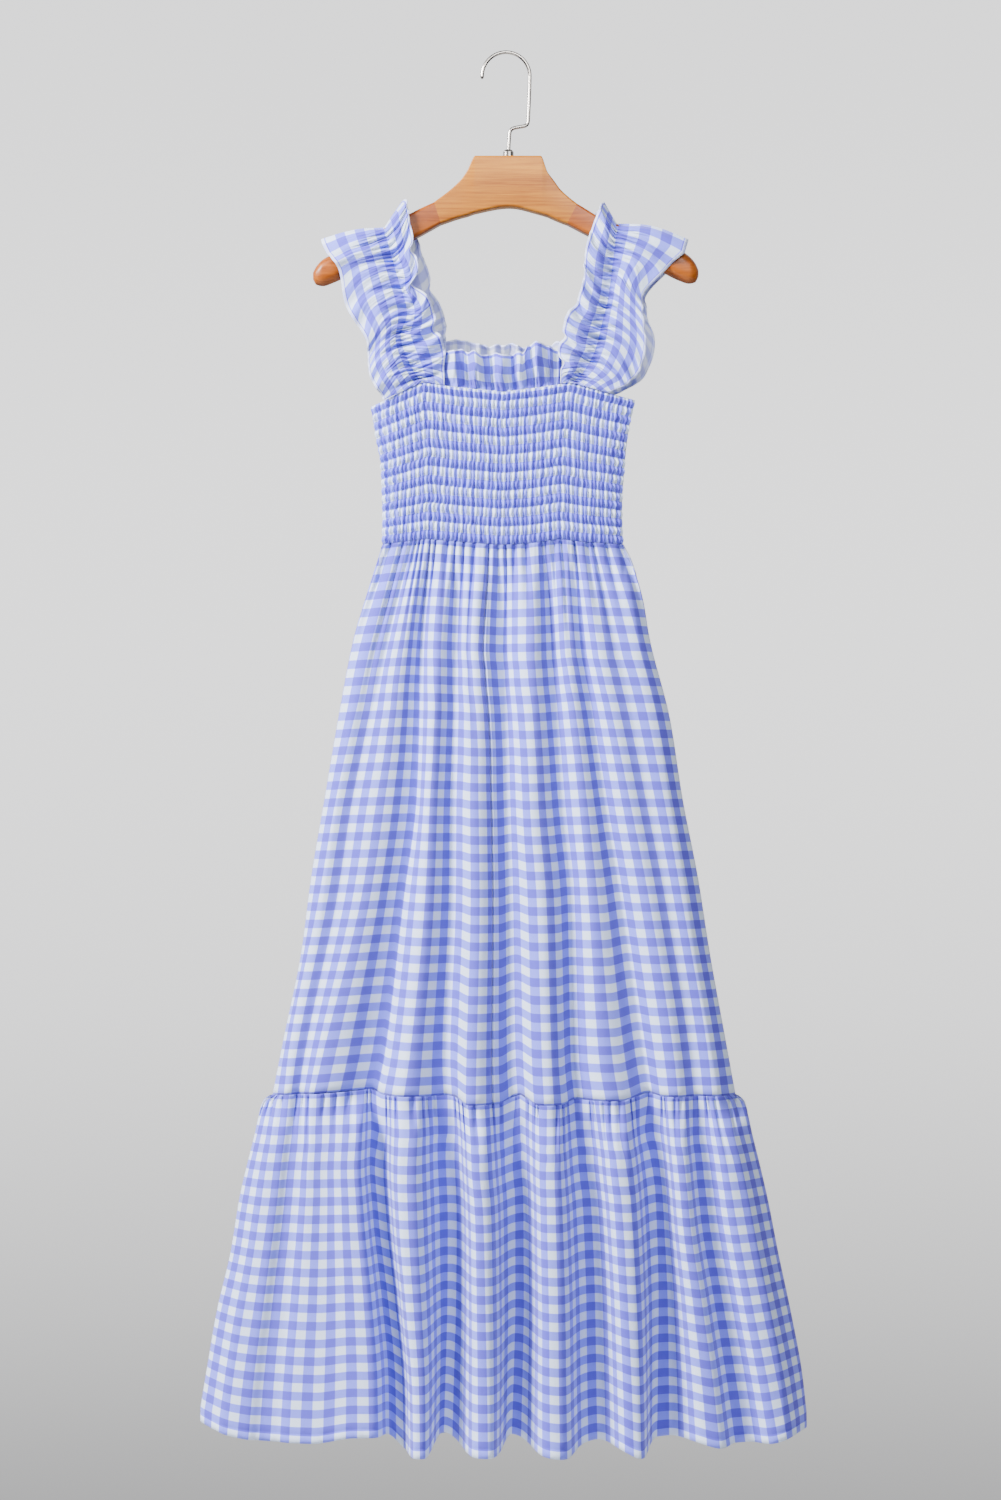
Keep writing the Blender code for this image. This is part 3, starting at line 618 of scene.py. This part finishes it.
def press_seam(points, across, drop):
    """The join down the skirt's front: a sunk line with a low ridge beside it."""
    seam = int(np.argmin(np.abs(points[len(drop) // 2, :, 0] - SKIRT_SEAM)))
    off = (across - across[seam]) / 1.3
    line = 3.4 * np.exp(-off ** 2) - 1.2 * np.exp(-(off - 2.4) ** 2)
    points[..., 1] += line[None, :] * np.clip(drop / 20, 0, 1)[:, None]
    return seam


def strap(name, stations, crest, notches, arch, crease, sign, seed, mats):
    """A ruffled strip drawn up on one line, over the arm from front to back."""
    stations = np.array(stations, float)
    steps = 600
    across = np.concatenate([-np.linspace(1, 0, 18) ** 0.8, np.linspace(0, 1, 14)[1:] ** 0.8])
    w = np.linspace(0, 2, steps)
    front = w <= 1
    m = np.where(front, w, 2 - w)
    slant = 0.17 * np.sin(np.pi * np.clip(m / 0.97, 0, 1)) ** 0.8

    def edge_place(i, slide):
        place = np.clip(m + slide, 0, 1)
        steps_up = np.clip(place / LEG_END, 0, 1) * (len(stations) - 1)
        value = smooth_table(np.arange(len(stations)), stations[:, i], steps_up)
        if i == 6:
            return value
        bend = np.clip((place - LEG_END) / (1 - LEG_END), 0, 1) * np.pi / 2
        rise = 1 - np.cos(bend) if i == 4 else np.sin(bend)
        return value + (crest[i] - stations[-1, i]) * rise

    turn = np.clip((m - LEG_END) / (1 - LEG_END), 0, 1) * np.pi / 2
    depth = edge_place(6, 0) * np.where(turn > 0, np.cos(turn) * SEAT_DEPTH / stations[-1, 6], 1.0)
    flip = np.where(front, -1.0, 1.0)
    angle = np.where(front, turn, np.pi - turn)
    shift = np.where(front, 0.0, (3 + 5 * np.clip(m / 0.3, 0, 1)) * np.clip((LEG_END - m) / 0.3, 0, 1))
    a = np.abs(across)[None, :]
    outer_side = across[None, :] < 0
    x = np.zeros((steps, len(across)))
    z = np.zeros((steps, len(across)))
    for j, place in enumerate(across):
        # Threads leave the line level, then run down to the outer edge or up to the inner
        slide = slant * place * (1 if place < 0 else 0.6)
        edge_x, edge_z = [edge_place(i, slide) for i in ((0, 1) if place < 0 else (4, 5))]
        if place > 0:
            for height, deep, half in notches:
                dip = deep * np.exp(-((edge_z - height) / half) ** 2)
                edge_x = edge_x - sign * np.where(front, dip, 0.3 * dip)
        x[:, j] = edge_place(2, 0) * (1 - abs(place)) + edge_x * abs(place) + shift
        z[:, j] = edge_place(3, 0) * (1 - abs(place)) + edge_z * abs(place)
    y = (flip * depth)[:, None] * np.ones_like(a)
    # Slow waves that grow towards both edges
    run = w * STRAP_LEG
    far = a ** 1.4
    slow_out = 5.5 * soft_noise(run, 15, seed) + 3.0 * soft_noise(run, 8, seed + 1)
    slow_in = 6.0 * soft_noise(run, 10, seed + 2) + 3.0 * soft_noise(run, 5.5, seed + 3)
    grow = np.clip(m / 0.1, 0.2, 1) * (0.3 + 0.7 * np.clip((1 - m) / 0.25, 0, 1))
    wave = np.where(outer_side, slow_out[:, None], slow_in[:, None]) * far
    round_up = 2.6 * np.exp(-((a - 0.5) / 0.35) ** 2) - 1.6 * np.exp(-(a / 0.12) ** 2)
    rounded = np.clip(m / 0.08, 0, 1) * np.clip((1.02 - m) / 0.2, 0.1, 1)
    move = wave * grow[:, None] + round_up * rounded[:, None]
    floor = np.clip((m - LEG_END) / (1 - LEG_END), 0, 1)[:, None]
    move = np.where(floor > 0, np.maximum(move, -2.0 * (1 - floor)), move)
    move += arch * np.sin(np.pi * a) * outer_side * np.sin(turn)[:, None]
    sway = 2.2 * soft_noise(run, 17, seed + 4)[:, None] * far * np.clip(m / 0.15, 0, 1)[:, None]
    x = x + np.where(outer_side, -1, 1) * sign * sway
    for row, table in ((0, BODICE_TOP), (-1, BODICE_TOP_BACK)):
        z[row] = np.interp(x[row], *zip(*table)) + EDGE_LIFT
    lift = np.stack([np.zeros(steps), -np.cos(angle), np.sin(angle)], axis=-1)
    points = np.stack([x, y, z], axis=-1) + (move + 1.2)[..., None] * lift[:, None, :]
    # Gathers drawn up on the line, then a few folds that reach the edges
    turned = points.transpose(1, 0, 2).copy()
    drop = np.where(across < 0, -across * STRAP_OUTER, across * INNER_FADE)
    cloth = run * STRAP_FULLNESS
    press = 3.2 * crease * gather(turned, cloth, drop, 84, seed + 6, 26.0, 2.0, 0.35)
    press += 4.2 * crease * gather(turned, cloth, drop + 4, 17, seed + 7, 75.0, 4.5, 0.7)
    ends = np.clip(np.minimum(run, 2 * STRAP_LEG - run) / 10, 0, 1)
    ends = ends * (0.35 + 0.65 * np.clip((1 - m) / 0.2, 0, 1))
    points = turned.transpose(1, 0, 2) - (press.T * ends[:, None])[..., None] * lift[:, None, :]
    for row, table in ((0, BODICE_TOP), (-1, BODICE_TOP_BACK)):
        points[row, :, 2] = np.interp(points[row, :, 0], *zip(*table)) + EDGE_LIFT
    uv = np.zeros(points.shape[:2] + (2,))
    wide_mm = np.where(across < 0, across * STRAP_OUTER, across * STRAP_INNER)
    uv[..., 0] = (wide_mm * MM)[None, :] + 0.3
    uv[..., 1] = (run - STRAP_LEG)[:, None] * (STRAP_FULLNESS - 0.15 * a) * MM
    # The strap's back half takes the paler copies: painted light from behind, with real translucency
    return cloth_object(name, points, uv, -sign, mats, thick=RUFFLE_THICK,
                        hems=("first column", "last column"), painted_backlit_rows=steps // 2)


def neck_ruffle(name, side, edge, top, folds, seed, mats, painted_backlit_rows=None):
    """A free-standing ruffle on the bodice's top edge: billows between a few deep folds."""
    cols, rows = 330, 24
    u = np.linspace(0, 1, cols)
    v = 1 - np.concatenate([[0.0, 0.035], np.linspace(0.08, 1, rows - 2)])
    left, right = edge[0][0], edge[-1][0]
    x = left + (right - left) * u[None, :] * np.ones((rows, 1))
    base = np.interp(x[0], *zip(*top)) + EDGE_LIFT
    free = np.interp(x[0], *zip(*edge))
    free = np.convolve(np.pad(free, 6, mode="edge"), np.ones(13) / 13, mode="valid")
    run = u * (right - left)
    free = free + 1.7 * soft_noise(run, 7, seed + 2)
    vv = v[:, None]
    near = np.min(np.abs(x[0][:, None] - np.array(folds)[None, :]), axis=1)
    billow = 1 - np.exp(-(near / 8) ** 2)
    z = base[None, :] * (1 - vv) + (free + 1.5 * billow - 2.6)[None, :] * vv
    slow = 3.0 * soft_noise(run, 9, seed) + 1.8 * soft_noise(run, 4.5, seed + 1)
    puff = (1.5 + 7.0 * billow)[None, :] * np.sin(np.pi * np.clip(vv * 0.95, 0, 1)) ** 0.8
    depth = 13.0 + 1.5 * vv + puff + slow[None, :] * vv ** 1.3
    # The two ends sink behind the straps
    end = np.clip(np.minimum(run, run[-1] - run) / 12, 0, 1)
    depth = RUFFLE_SUNK + (depth - RUFFLE_SUNK) * end[None, :]
    x = x + 1.8 * (soft_noise(run, 12, seed + 5) * end)[None, :] * vv
    points = np.stack([x, side * depth, z], axis=-1)
    cloth = run * RUFFLE_FULLNESS
    drop = v * RUFFLE_DROP
    press = 3.8 * gather(points, cloth, drop, 26, seed + 3, 26.0, 2.3, 0.6)
    deep_places = (np.array(folds) - left) * RUFFLE_FULLNESS
    press += 9.0 * gather(points, cloth, drop, len(folds), seed + 4, 120.0, 5.5, 0.85, at=deep_places)
    depth = side * points[..., 1] - press * np.clip(v / 0.06, 0.2, 1)[:, None]
    points[..., 1] = side * np.maximum(depth, RUFFLE_SUNK + 2.5 * end[None, :])
    uv = np.zeros((rows, cols, 2))
    uv[..., 0] = (cloth * MM)[None, :]
    uv[..., 1] = (1 - v)[:, None] * -0.042
    thing = cloth_object(name, points, uv, -side, mats, thick=RUFFLE_THICK, hems=("first row",),
                         painted_backlit_rows=painted_backlit_rows)
    return thing, (abs(right - left) * MM * RUFFLE_FULLNESS, 0.042)


def wood_bar(name, node, stations, tilt_start, tilt_end, use):
    """A bar of rounded rectangles along x; tilt leans the two end cuts."""
    keys = [row[0] for row in stations]
    low, high = min(keys), max(keys)
    x = np.unique(np.concatenate([np.linspace(low, high, 90), keys]))
    if keys[0] > keys[-1]:
        x = x[::-1]
    top, bottom, deep, edge = [smooth_table(keys, [row[i] for row in stations], x) for i in range(1, 5)]
    half = (top - bottom) / 2
    edge = np.minimum(edge, np.minimum(deep, half) * 0.98)
    corner = np.linspace(0, np.pi / 2, 7)
    ring = [(np.cos(corner + q * np.pi / 2), np.sin(corner + q * np.pi / 2)) for q in range(4)]
    rows = []
    span = x[-1] - x[0]
    for i in range(len(x)):
        ys, zs = [], []
        for q, (c, d) in enumerate(ring):
            sy = (1, -1, -1, 1)[q]
            sz = (1, 1, -1, -1)[q]
            ys.append(sy * (deep[i] - edge[i]) + edge[i] * c)
            zs.append(sz * (half[i] - edge[i]) + edge[i] * d)
        ys, zs = np.concatenate(ys), np.concatenate(zs)
        near = tilt_start * max(0, 1 - abs(x[i] - x[0]) / 25) + tilt_end * max(0, 1 - abs(x[-1] - x[i]) / 25)
        rows.append(np.stack([x[i] + near * zs, ys, zs + (top[i] + bottom[i]) / 2], axis=-1))
    rows = np.array(rows) * MM
    count, around = rows.shape[:2]
    faces = []
    for i in range(count - 1):
        for j in range(around):
            k = (j + 1) % around
            quad = (i * around + j, i * around + k, (i + 1) * around + k, (i + 1) * around + j)
            faces.append(quad[::-1] if span > 0 else quad)
    ends = (tuple(range(around)), tuple(range((count - 1) * around, count * around))[::-1])
    faces += [face[::-1] if span < 0 else face for face in ends]
    mesh = bpy.data.meshes.new(name)
    mesh.from_pydata(rows.reshape(-1, 3).tolist(), [], faces)
    for polygon in mesh.polygons:
        polygon.use_smooth = len(polygon.vertices) == 4
    mesh.update()
    for side in mesh.edges:
        side.use_edge_sharp = {v // around for v in side.vertices} in ({0}, {count - 1})
    mesh.materials.append(use)
    thing = add_object(name, mesh)
    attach(thing, "root")
    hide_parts(node)
    return thing


class Nodes:
    """Short calls for building a material."""

    def __init__(self, name):
        self.material = bpy.data.materials.new(name)
        self.material.use_nodes = True
        self.tree = self.material.node_tree
        self.shader = self.tree.nodes["Principled BSDF"]
        self.output = self.tree.nodes["Material Output"]

    def add(self, kind, **settings):
        node = self.tree.nodes.new(kind)
        for key, value in settings.items():
            setattr(node, key, value)
        return node

    def link(self, source, target):
        self.tree.links.new(source, target)

    def put(self, target, value):
        if isinstance(value, bpy.types.NodeSocket):
            self.link(value, target)
        else:
            target.default_value = value

    def math(self, operation, a, b=0.0, clamp=False):
        node = self.add("ShaderNodeMath", operation=operation, use_clamp=clamp)
        self.put(node.inputs[0], a)
        self.put(node.inputs[1], b)
        return node.outputs[0]

    def blend(self, factor, a, b, mode="MIX"):
        node = self.add("ShaderNodeMix", data_type="RGBA", blend_type=mode)
        self.put(node.inputs["Factor"], factor)
        self.put(node.inputs["A"], a)
        self.put(node.inputs["B"], b)
        return node.outputs["Result"]

    def surface(self, **values):
        for key, value in values.items():
            self.put(self.shader.inputs[key.replace("_", " ")], value)

    def stretch(self, vector, scale, rotation=(0, 0, 0)):
        node = self.add("ShaderNodeMapping")
        self.link(vector, node.inputs["Vector"])
        node.inputs["Scale"].default_value = scale
        node.inputs["Rotation"].default_value = rotation
        return node.outputs[0]

    def bump(self, height, distance, strength=1.0):
        node = self.add("ShaderNodeBump")
        node.inputs["Strength"].default_value = strength
        node.inputs["Distance"].default_value = distance
        self.link(height, node.inputs["Height"])
        return node

    def noise(self, vector, scale, detail=2.0, rough=0.5):
        node = self.add("ShaderNodeTexNoise")
        self.link(vector, node.inputs["Vector"])
        node.inputs["Scale"].default_value = scale
        node.inputs["Detail"].default_value = detail
        node.inputs["Roughness"].default_value = rough
        return node.outputs["Fac"]


def gingham(name, blue, light, white, through=0.2, crinkle=None):
    """Woven check from the cloth's own threads, with weave, slubs and a faint sheen.

    crinkle adds fine gathers: their depth, their counts per metre along the cloth's two
    directions, and the axis, place and distance in which they fade.
    """
    m = Nodes(name)
    uv = m.add("ShaderNodeUVMap", uv_map="cloth").outputs["UV"]
    split = m.add("ShaderNodeSeparateXYZ")
    m.link(uv, split.inputs[0])
    stripes = []
    for axis in ("X", "Y"):
        turns = m.math("FRACT", m.math("MULTIPLY", split.outputs[axis], 1 / CHECK))
        off = m.math("ABSOLUTE", m.math("SUBTRACT", turns, 0.5))
        edge = m.math("MULTIPLY", m.math("SUBTRACT", off, 0.25), 40.0)
        stripes.append(m.math("ADD", edge, 0.5, clamp=True))
    both = m.math("MULTIPLY", stripes[0], stripes[1])
    any_blue = m.math("MAXIMUM", stripes[0], stripes[1])
    colour = m.blend(any_blue, white, light)
    colour = m.blend(both, colour, blue)
    thread = m.noise(uv, 900.0, 2.0)
    slub = m.noise(m.stretch(uv, (1.0, 0.05, 1.0)), 700.0, 2.0)
    tone = m.math("ADD", m.math("MULTIPLY", thread, 0.05), m.math("MULTIPLY", slub, 0.06))
    tone = m.math("ADD", tone, 0.945)
    grey = m.add("ShaderNodeCombineColor")
    for i in range(3):
        m.link(tone, grey.inputs[i])
    colour = m.blend(1.0, colour, grey.outputs[0], "MULTIPLY")
    m.surface(Base_Color=colour, Roughness=0.85, Sheen_Weight=0.25, Sheen_Roughness=0.5,
              Specular_IOR_Level=0.2)
    # Weave: fine ribs both ways
    warp = m.math("SINE", m.math("MULTIPLY", split.outputs["X"], 2 * math.pi / WEAVE))
    weft = m.math("SINE", m.math("MULTIPLY", split.outputs["Y"], 2 * math.pi / WEAVE))
    weave = m.math("MULTIPLY", warp, weft)
    height = m.math("ADD", m.math("MULTIPLY", weave, 0.5), m.math("MULTIPLY", thread, 1.2))
    normal = m.bump(height, 0.0002, 0.25).outputs[0]
    if crinkle:
        deep, counts, axis, start, reach = crinkle
        folds = m.math("SUBTRACT", m.noise(m.stretch(uv, (*counts, 1.0)), 1.0, 1.5), 0.5)
        off = m.math("ABSOLUTE", m.math("SUBTRACT", split.outputs[axis], start))
        near = m.math("SUBTRACT", 1.0, m.math("DIVIDE", off, reach), clamp=True)
        gathers = m.bump(m.math("MULTIPLY", folds, near), deep)
        m.link(normal, gathers.inputs["Normal"])
        normal = gathers.outputs[0]
    m.surface(Normal=normal)
    clear = m.add("ShaderNodeBsdfTranslucent")
    m.link(colour, clear.inputs["Color"])
    mixer = m.add("ShaderNodeMixShader")
    mixer.inputs[0].default_value = through
    m.link(m.shader.outputs[0], mixer.inputs[1])
    m.link(clear.outputs[0], mixer.inputs[2])
    m.link(mixer.outputs[0], m.output.inputs["Surface"])
    return m.material


def wood(name, light, dark, rough, along):
    """Straight-grained varnished wood; along is how far the grain is drawn out in x."""
    m = Nodes(name)
    place = m.add("ShaderNodeTexCoord").outputs["Object"]
    drawn = m.stretch(place, (1.0 / along, 1.0, 1.0), (0, 0.03, 0))
    fine = m.noise(drawn, 420.0, 3.0, 0.6)
    broad = m.noise(drawn, 70.0, 2.0)
    mixed = m.math("ADD", m.math("MULTIPLY", fine, 0.6), m.math("MULTIPLY", broad, 0.5))
    ramp = m.math("MULTIPLY", m.math("SUBTRACT", mixed, 0.4), 3.4, clamp=True)
    colour = m.blend(ramp, dark, light)
    m.surface(Base_Color=colour, Roughness=rough, Coat_Weight=0.06, Coat_Roughness=0.25,
              Specular_IOR_Level=0.2, Normal=m.bump(fine, 0.0003, 0.15).outputs[0])
    return m.material


def nickel(name):
    m = Nodes(name)
    place = m.add("ShaderNodeTexCoord").outputs["Object"]
    smudge = m.noise(place, 160.0, 3.0)
    rough = m.math("ADD", m.math("MULTIPLY", smudge, 0.12), 0.16)
    m.surface(Metallic=1.0, Base_Color=(0.36, 0.335, 0.31, 1), Roughness=rough)
    return m.material


def hook_wire(metal):
    """The swan neck again as a finer round wire with a domed tip."""
    radius, wire = 24.8, 1.9
    centre_x, centre_z = -0.5, -radius + wire
    path = [(centre_x - radius, centre_z - 3)]
    for i in range(49):
        a = math.pi * (1 - i / 48)
        path.append((centre_x + radius * math.cos(a), centre_z + radius * math.sin(a)))
    path += [(24.0, -36), (23.3, -54), (22.7, -66), (22.5, -70.5), (21.6, -73.4), (19.2, -74.9)]
    path += [(13, -76), (7.6, -77), (4.8, -78.4), (3.5, -81), (3.0, -85), (2.4, -95), (2, -106.5)]
    path = np.array(path)
    # Smooth the bends while keeping the ends
    length = np.concatenate([[0], np.cumsum(np.hypot(*np.diff(path, axis=0).T))])
    even = np.linspace(0, length[-1], 190)
    x = np.interp(even, length, path[:, 0])
    z = np.interp(even, length, path[:, 1])
    for _ in range(2):
        x[1:-1] = (x[:-2] + 2 * x[1:-1] + x[2:]) / 4
        z[1:-1] = (z[:-2] + 2 * z[1:-1] + z[2:]) / 4
    curve = bpy.data.curves.new("hook_wire", "CURVE")
    curve.dimensions = "3D"
    curve.bevel_depth = wire * MM
    curve.bevel_resolution = 6
    curve.use_fill_caps = True
    spline = curve.splines.new("POLY")
    spline.points.add(len(x) - 1)
    for i, point in enumerate(spline.points):
        point.co = (x[i] * MM, 0, z[i] * MM, 1)
        point.radius = min(1.0, 0.45 + 0.3 * i)
    curve.materials.append(metal)
    return add_object("hook_wire", curve)


def dress_piece(thing, node):
    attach(thing, "root")
    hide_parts(node)


def area_light(name, place, target, size, power, colour=(1, 1, 1)):
    data = bpy.data.lights.new(name, "AREA")
    data.shape = "RECTANGLE"
    data.size, data.size_y = size
    data.energy = power
    data.color = colour
    thing = add_object(name, data)
    thing.location = place
    thing.rotation_euler = (Vector(target) - Vector(place)).to_track_quat("-Z", "Y").to_euler()


def map_range(tree, source, low, high, to_low, to_high):
    node = tree.nodes.new("ShaderNodeMapRange")
    tree.links.new(source, node.inputs["Value"])
    for key, value in zip(("From Min", "From Max", "To Min", "To Max"), (low, high, to_low, to_high)):
        node.inputs[key].default_value = value
    return node


def studio():
    """A world that is bright behind the dress, dim in front and darker towards the ground."""
    world = bpy.data.worlds.new("room")
    bpy.context.scene.world = world
    world.use_nodes = True
    tree = world.node_tree
    way = tree.nodes.new("ShaderNodeTexCoord").outputs["Generated"]
    split = tree.nodes.new("ShaderNodeSeparateXYZ")
    tree.links.new(way, split.inputs[0])
    depth = map_range(tree, split.outputs["Y"], 0.2, 0.93, 0.17, 1.0)
    depth.interpolation_type = "SMOOTHSTEP"
    height = tree.nodes.new("ShaderNodeValToRGB")
    stops = [(0.0, 0.30), (0.37, 0.42), (0.41, 0.86), (0.46, 1.62), (0.53, 1.95), (0.60, 1.72), (0.75, 1.5),
             (1.0, 1.4)]
    ramp = height.color_ramp
    ramp.interpolation = "B_SPLINE"
    while len(ramp.elements) < len(stops):
        ramp.elements.new(0.5)
    for element, (place, value) in zip(ramp.elements, stops):
        element.position = place
        element.color = (value / 2, value / 2, value / 2 * 1.01, 1)     # halved to stay under 1
    rise = map_range(tree, split.outputs["Z"], -1.0, 1.0, 0.0, 1.0)
    tree.links.new(rise.outputs[0], height.inputs[0])
    both = tree.nodes.new("ShaderNodeMath")
    both.operation = "MULTIPLY"
    tree.links.new(depth.outputs[0], both.inputs[0])
    both.inputs[1].default_value = 2
    tree.links.new(height.outputs[0], tree.nodes["Background"].inputs["Color"])
    tree.links.new(both.outputs[0], tree.nodes["Background"].inputs["Strength"])


def cloth_materials():
    """Slots of a cloth piece, see cloth_object, for plain panels, straps and the neck ruffle."""
    face = gingham("gingham face", *FACE_COLOURS)
    wrong = gingham("gingham wrong side", (0.13, 0.15, 0.55, 1), (0.30, 0.34, 0.74, 1),
                    (0.60, 0.66, 0.80, 1))
    turned = gingham("gingham turned edge", (0.50, 0.55, 0.94, 1), (0.68, 0.74, 0.96, 1),
                     (0.86, 0.9, 0.98, 1))
    # Paler copies of the face and the wrong side: their raised colours are painted light from behind, on top
    # of the real translucency of through=0.6
    thin = gingham("gingham painted backlit", (0.16, 0.16, 0.70, 1), (0.36, 0.38, 0.93, 1),
                   (0.78, 0.85, 0.97, 1), through=0.6)
    backlit_wrong_side_painted_paler = gingham("gingham wrong side painted backlit", (0.50, 0.53, 0.82, 1), (0.64, 0.68, 0.88, 1),
                         (0.84, 0.86, 0.92, 1), through=0.6)
    others = (wrong, turned, thin, backlit_wrong_side_painted_paler)
    strap_face = gingham("gingham strap", *FACE_COLOURS, crinkle=(0.006, (45, 260), "X", 0.3, 0.055))
    neck_face = gingham("gingham neck ruffle", *FACE_COLOURS, crinkle=(0.005, (260, 40), "Y", -0.042, 0.042))
    return (face,) + others, (strap_face,) + others, (neck_face,) + others


def dress(mats, strap_mats, neck_mats):
    """All eleven cloth pieces."""
    piece, top_front = bodice("bodice_front_cloth", -1, 350, 6, BODICE_TOP, 100, mats)
    dress_piece(piece, "bodice_front")
    piece, top_back = bodice("bodice_back_cloth", 1, 292, 4, BODICE_TOP_BACK, 300, mats)
    dress_piece(piece, "bodice_back")

    piece, flat = neck_ruffle("neck_ruffle_front_cloth", -1, NECK_FRONT, BODICE_TOP, NECK_FOLDS, 21,
                              neck_mats)
    dress_piece(piece, "neck_ruffle_front")
    # The whole back ruffle takes the paler copies: painted light from behind, with real translucency
    piece, flat = neck_ruffle("neck_ruffle_back_cloth", 1, NECK_BACK, BODICE_TOP_BACK, NECK_FOLDS_BACK, 33,
                              mats, painted_backlit_rows=0)
    dress_piece(piece, "neck_ruffle_back")

    piece = strap("strap_left_cloth", STRAP_LEFT, CREST_LEFT, NOTCHES_LEFT, 3, 1.3, 1, 51, strap_mats)
    dress_piece(piece, "strap_left")
    piece = strap("strap_right_cloth", STRAP_RIGHT, CREST_RIGHT, NOTCHES_RIGHT, 5, 1.6, -1, 67, strap_mats)
    dress_piece(piece, "strap_right")

    skirt, uv, across, drop = panel(SKIRT, top_front, -1, SKIRT_FOLDS, WAIST, TIER, 430, 118, 26.0, 5,
                                    (27, 8, 180.0, 5.8, 0.86), 7.0)
    seam = press_seam(skirt, across, drop)
    normal_in = skirt - THICK * grid_normals(skirt)
    for name, part, node in (("skirt_front_left_cloth", slice(0, seam + 1), "skirt_front_left"),
                             ("skirt_front_right_cloth", slice(seam, len(across)), "skirt_front_right")):
        cloth_uv = uv[:, part].copy()
        cloth_uv[..., 0] += 0.0 if node.endswith("left") else 0.004
        piece = cloth_object(name, skirt[:, part], cloth_uv, 1, mats, inner=normal_in[:, part])
        dress_piece(piece, node)

    skirt_b, uv, across, drop = panel(SKIRT, top_back, 1, SKIRT_FOLDS_BACK, WAIST, TIER_BACK, 250, 90,
                                      30.0, 15, (26, 18, 95.0, 4.2, 0.9), 4.5)
    piece = cloth_object("skirt_back_cloth", skirt_b, uv, -1, mats)
    dress_piece(piece, "skirt_back")

    flounce, uv, across, drop = panel(FLOUNCE, skirt, -1, FLOUNCE_FOLDS, TIER, HEM, 500, 72, 24.0, 25,
                                      (62, 28, 60.0, 3.3, 0.7), 4.4)
    piece = cloth_object("flounce_front_cloth", flounce, uv, 1, mats)
    dress_piece(piece, "flounce_front")

    flounce_b, uv, across, drop = panel(FLOUNCE, skirt_b, 1, FLOUNCE_FOLDS_BACK, TIER_BACK, HEM_BACK, 300, 56,
                                        30.0, 35, (54, 38, 55.0, 3.0, 0.8), 3.2)
    piece = cloth_object("flounce_back_cloth", flounce_b, uv, -1, mats)
    dress_piece(piece, "flounce_back")


def hanger(nodes):
    """Wood and wire over the hanger's solids; the collar keeps its own and gets a material."""
    pale = wood("pale wood", (0.41, 0.155, 0.010, 1), (0.21, 0.058, 0.003, 1), 0.42, 26)
    warm = wood("warm wood", (0.29, 0.078, 0.010, 1), (0.15, 0.030, 0.003, 1), 0.36, 20)
    metal = nickel("nickel plate")
    nodes["hook_ferrule"].data.materials.clear()
    nodes["hook_ferrule"].data.materials.append(metal)
    wood_bar("hanger_body_wood", "hanger_body", BODY_BAR, -0.31, 0.5, pale)
    wood_bar("hanger_arm_left_wood", "hanger_arm_left", ARM_BAR_LEFT, -0.31, 0.0, warm)
    wood_bar("hanger_arm_right_wood", "hanger_arm_right", ARM_BAR_RIGHT, 0.5, 0.0, warm)
    wire = hook_wire(metal)
    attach(wire, "root")
    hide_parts("hook")


def ground():
    """A plain floor far below the hem."""
    mesh = bpy.data.meshes.new("floor")
    corners = [(-1, -1), (1, -1), (1, 1), (-1, 1)]
    mesh.from_pydata([(FLOOR_HALF * x, FLOOR_HALF * y, FLOOR_Z) for x, y in corners], [], [(0, 1, 2, 3)])
    plain = bpy.data.materials.new("floor")
    plain.use_nodes = True
    plain.node_tree.nodes["Principled BSDF"].inputs["Base Color"].default_value = (0.6, 0.6, 0.6, 1)
    mesh.materials.append(plain)
    add_object("floor", mesh)


def photo_camera():
    """Level with the middle of the photograph; the hook's crown is at pixel 506.5, 54."""
    data = bpy.data.cameras.new("camera")
    data.sensor_fit = "VERTICAL"
    data.sensor_height = 36
    data.lens = 36 * CAMERA_AWAY / VIEW_HEIGHT
    camera = add_object("camera", data)
    camera.location = ((500.5 - 506.5) * PIXEL * MM, -CAMERA_AWAY, (54 - 750) * PIXEL * MM)
    camera.rotation_euler = (math.pi / 2, 0, 0)
    bpy.context.scene.camera = camera


def main():
    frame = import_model()

    dress(*cloth_materials())
    hanger(frame["nodes"])

    # A soft key from the upper left in front, a weaker light in front, a grey studio around them
    studio()
    area_light("key", (-2.35, -1.55, 1.1), (0, 0, -0.6), (1.0, 1.0), 525, (1.0, 0.99, 0.98))
    area_light("front", (0.25, -1.6, 0.5), (0, 0, -0.4), (0.8, 0.8), 38)
    ground()
    photo_camera()


main()
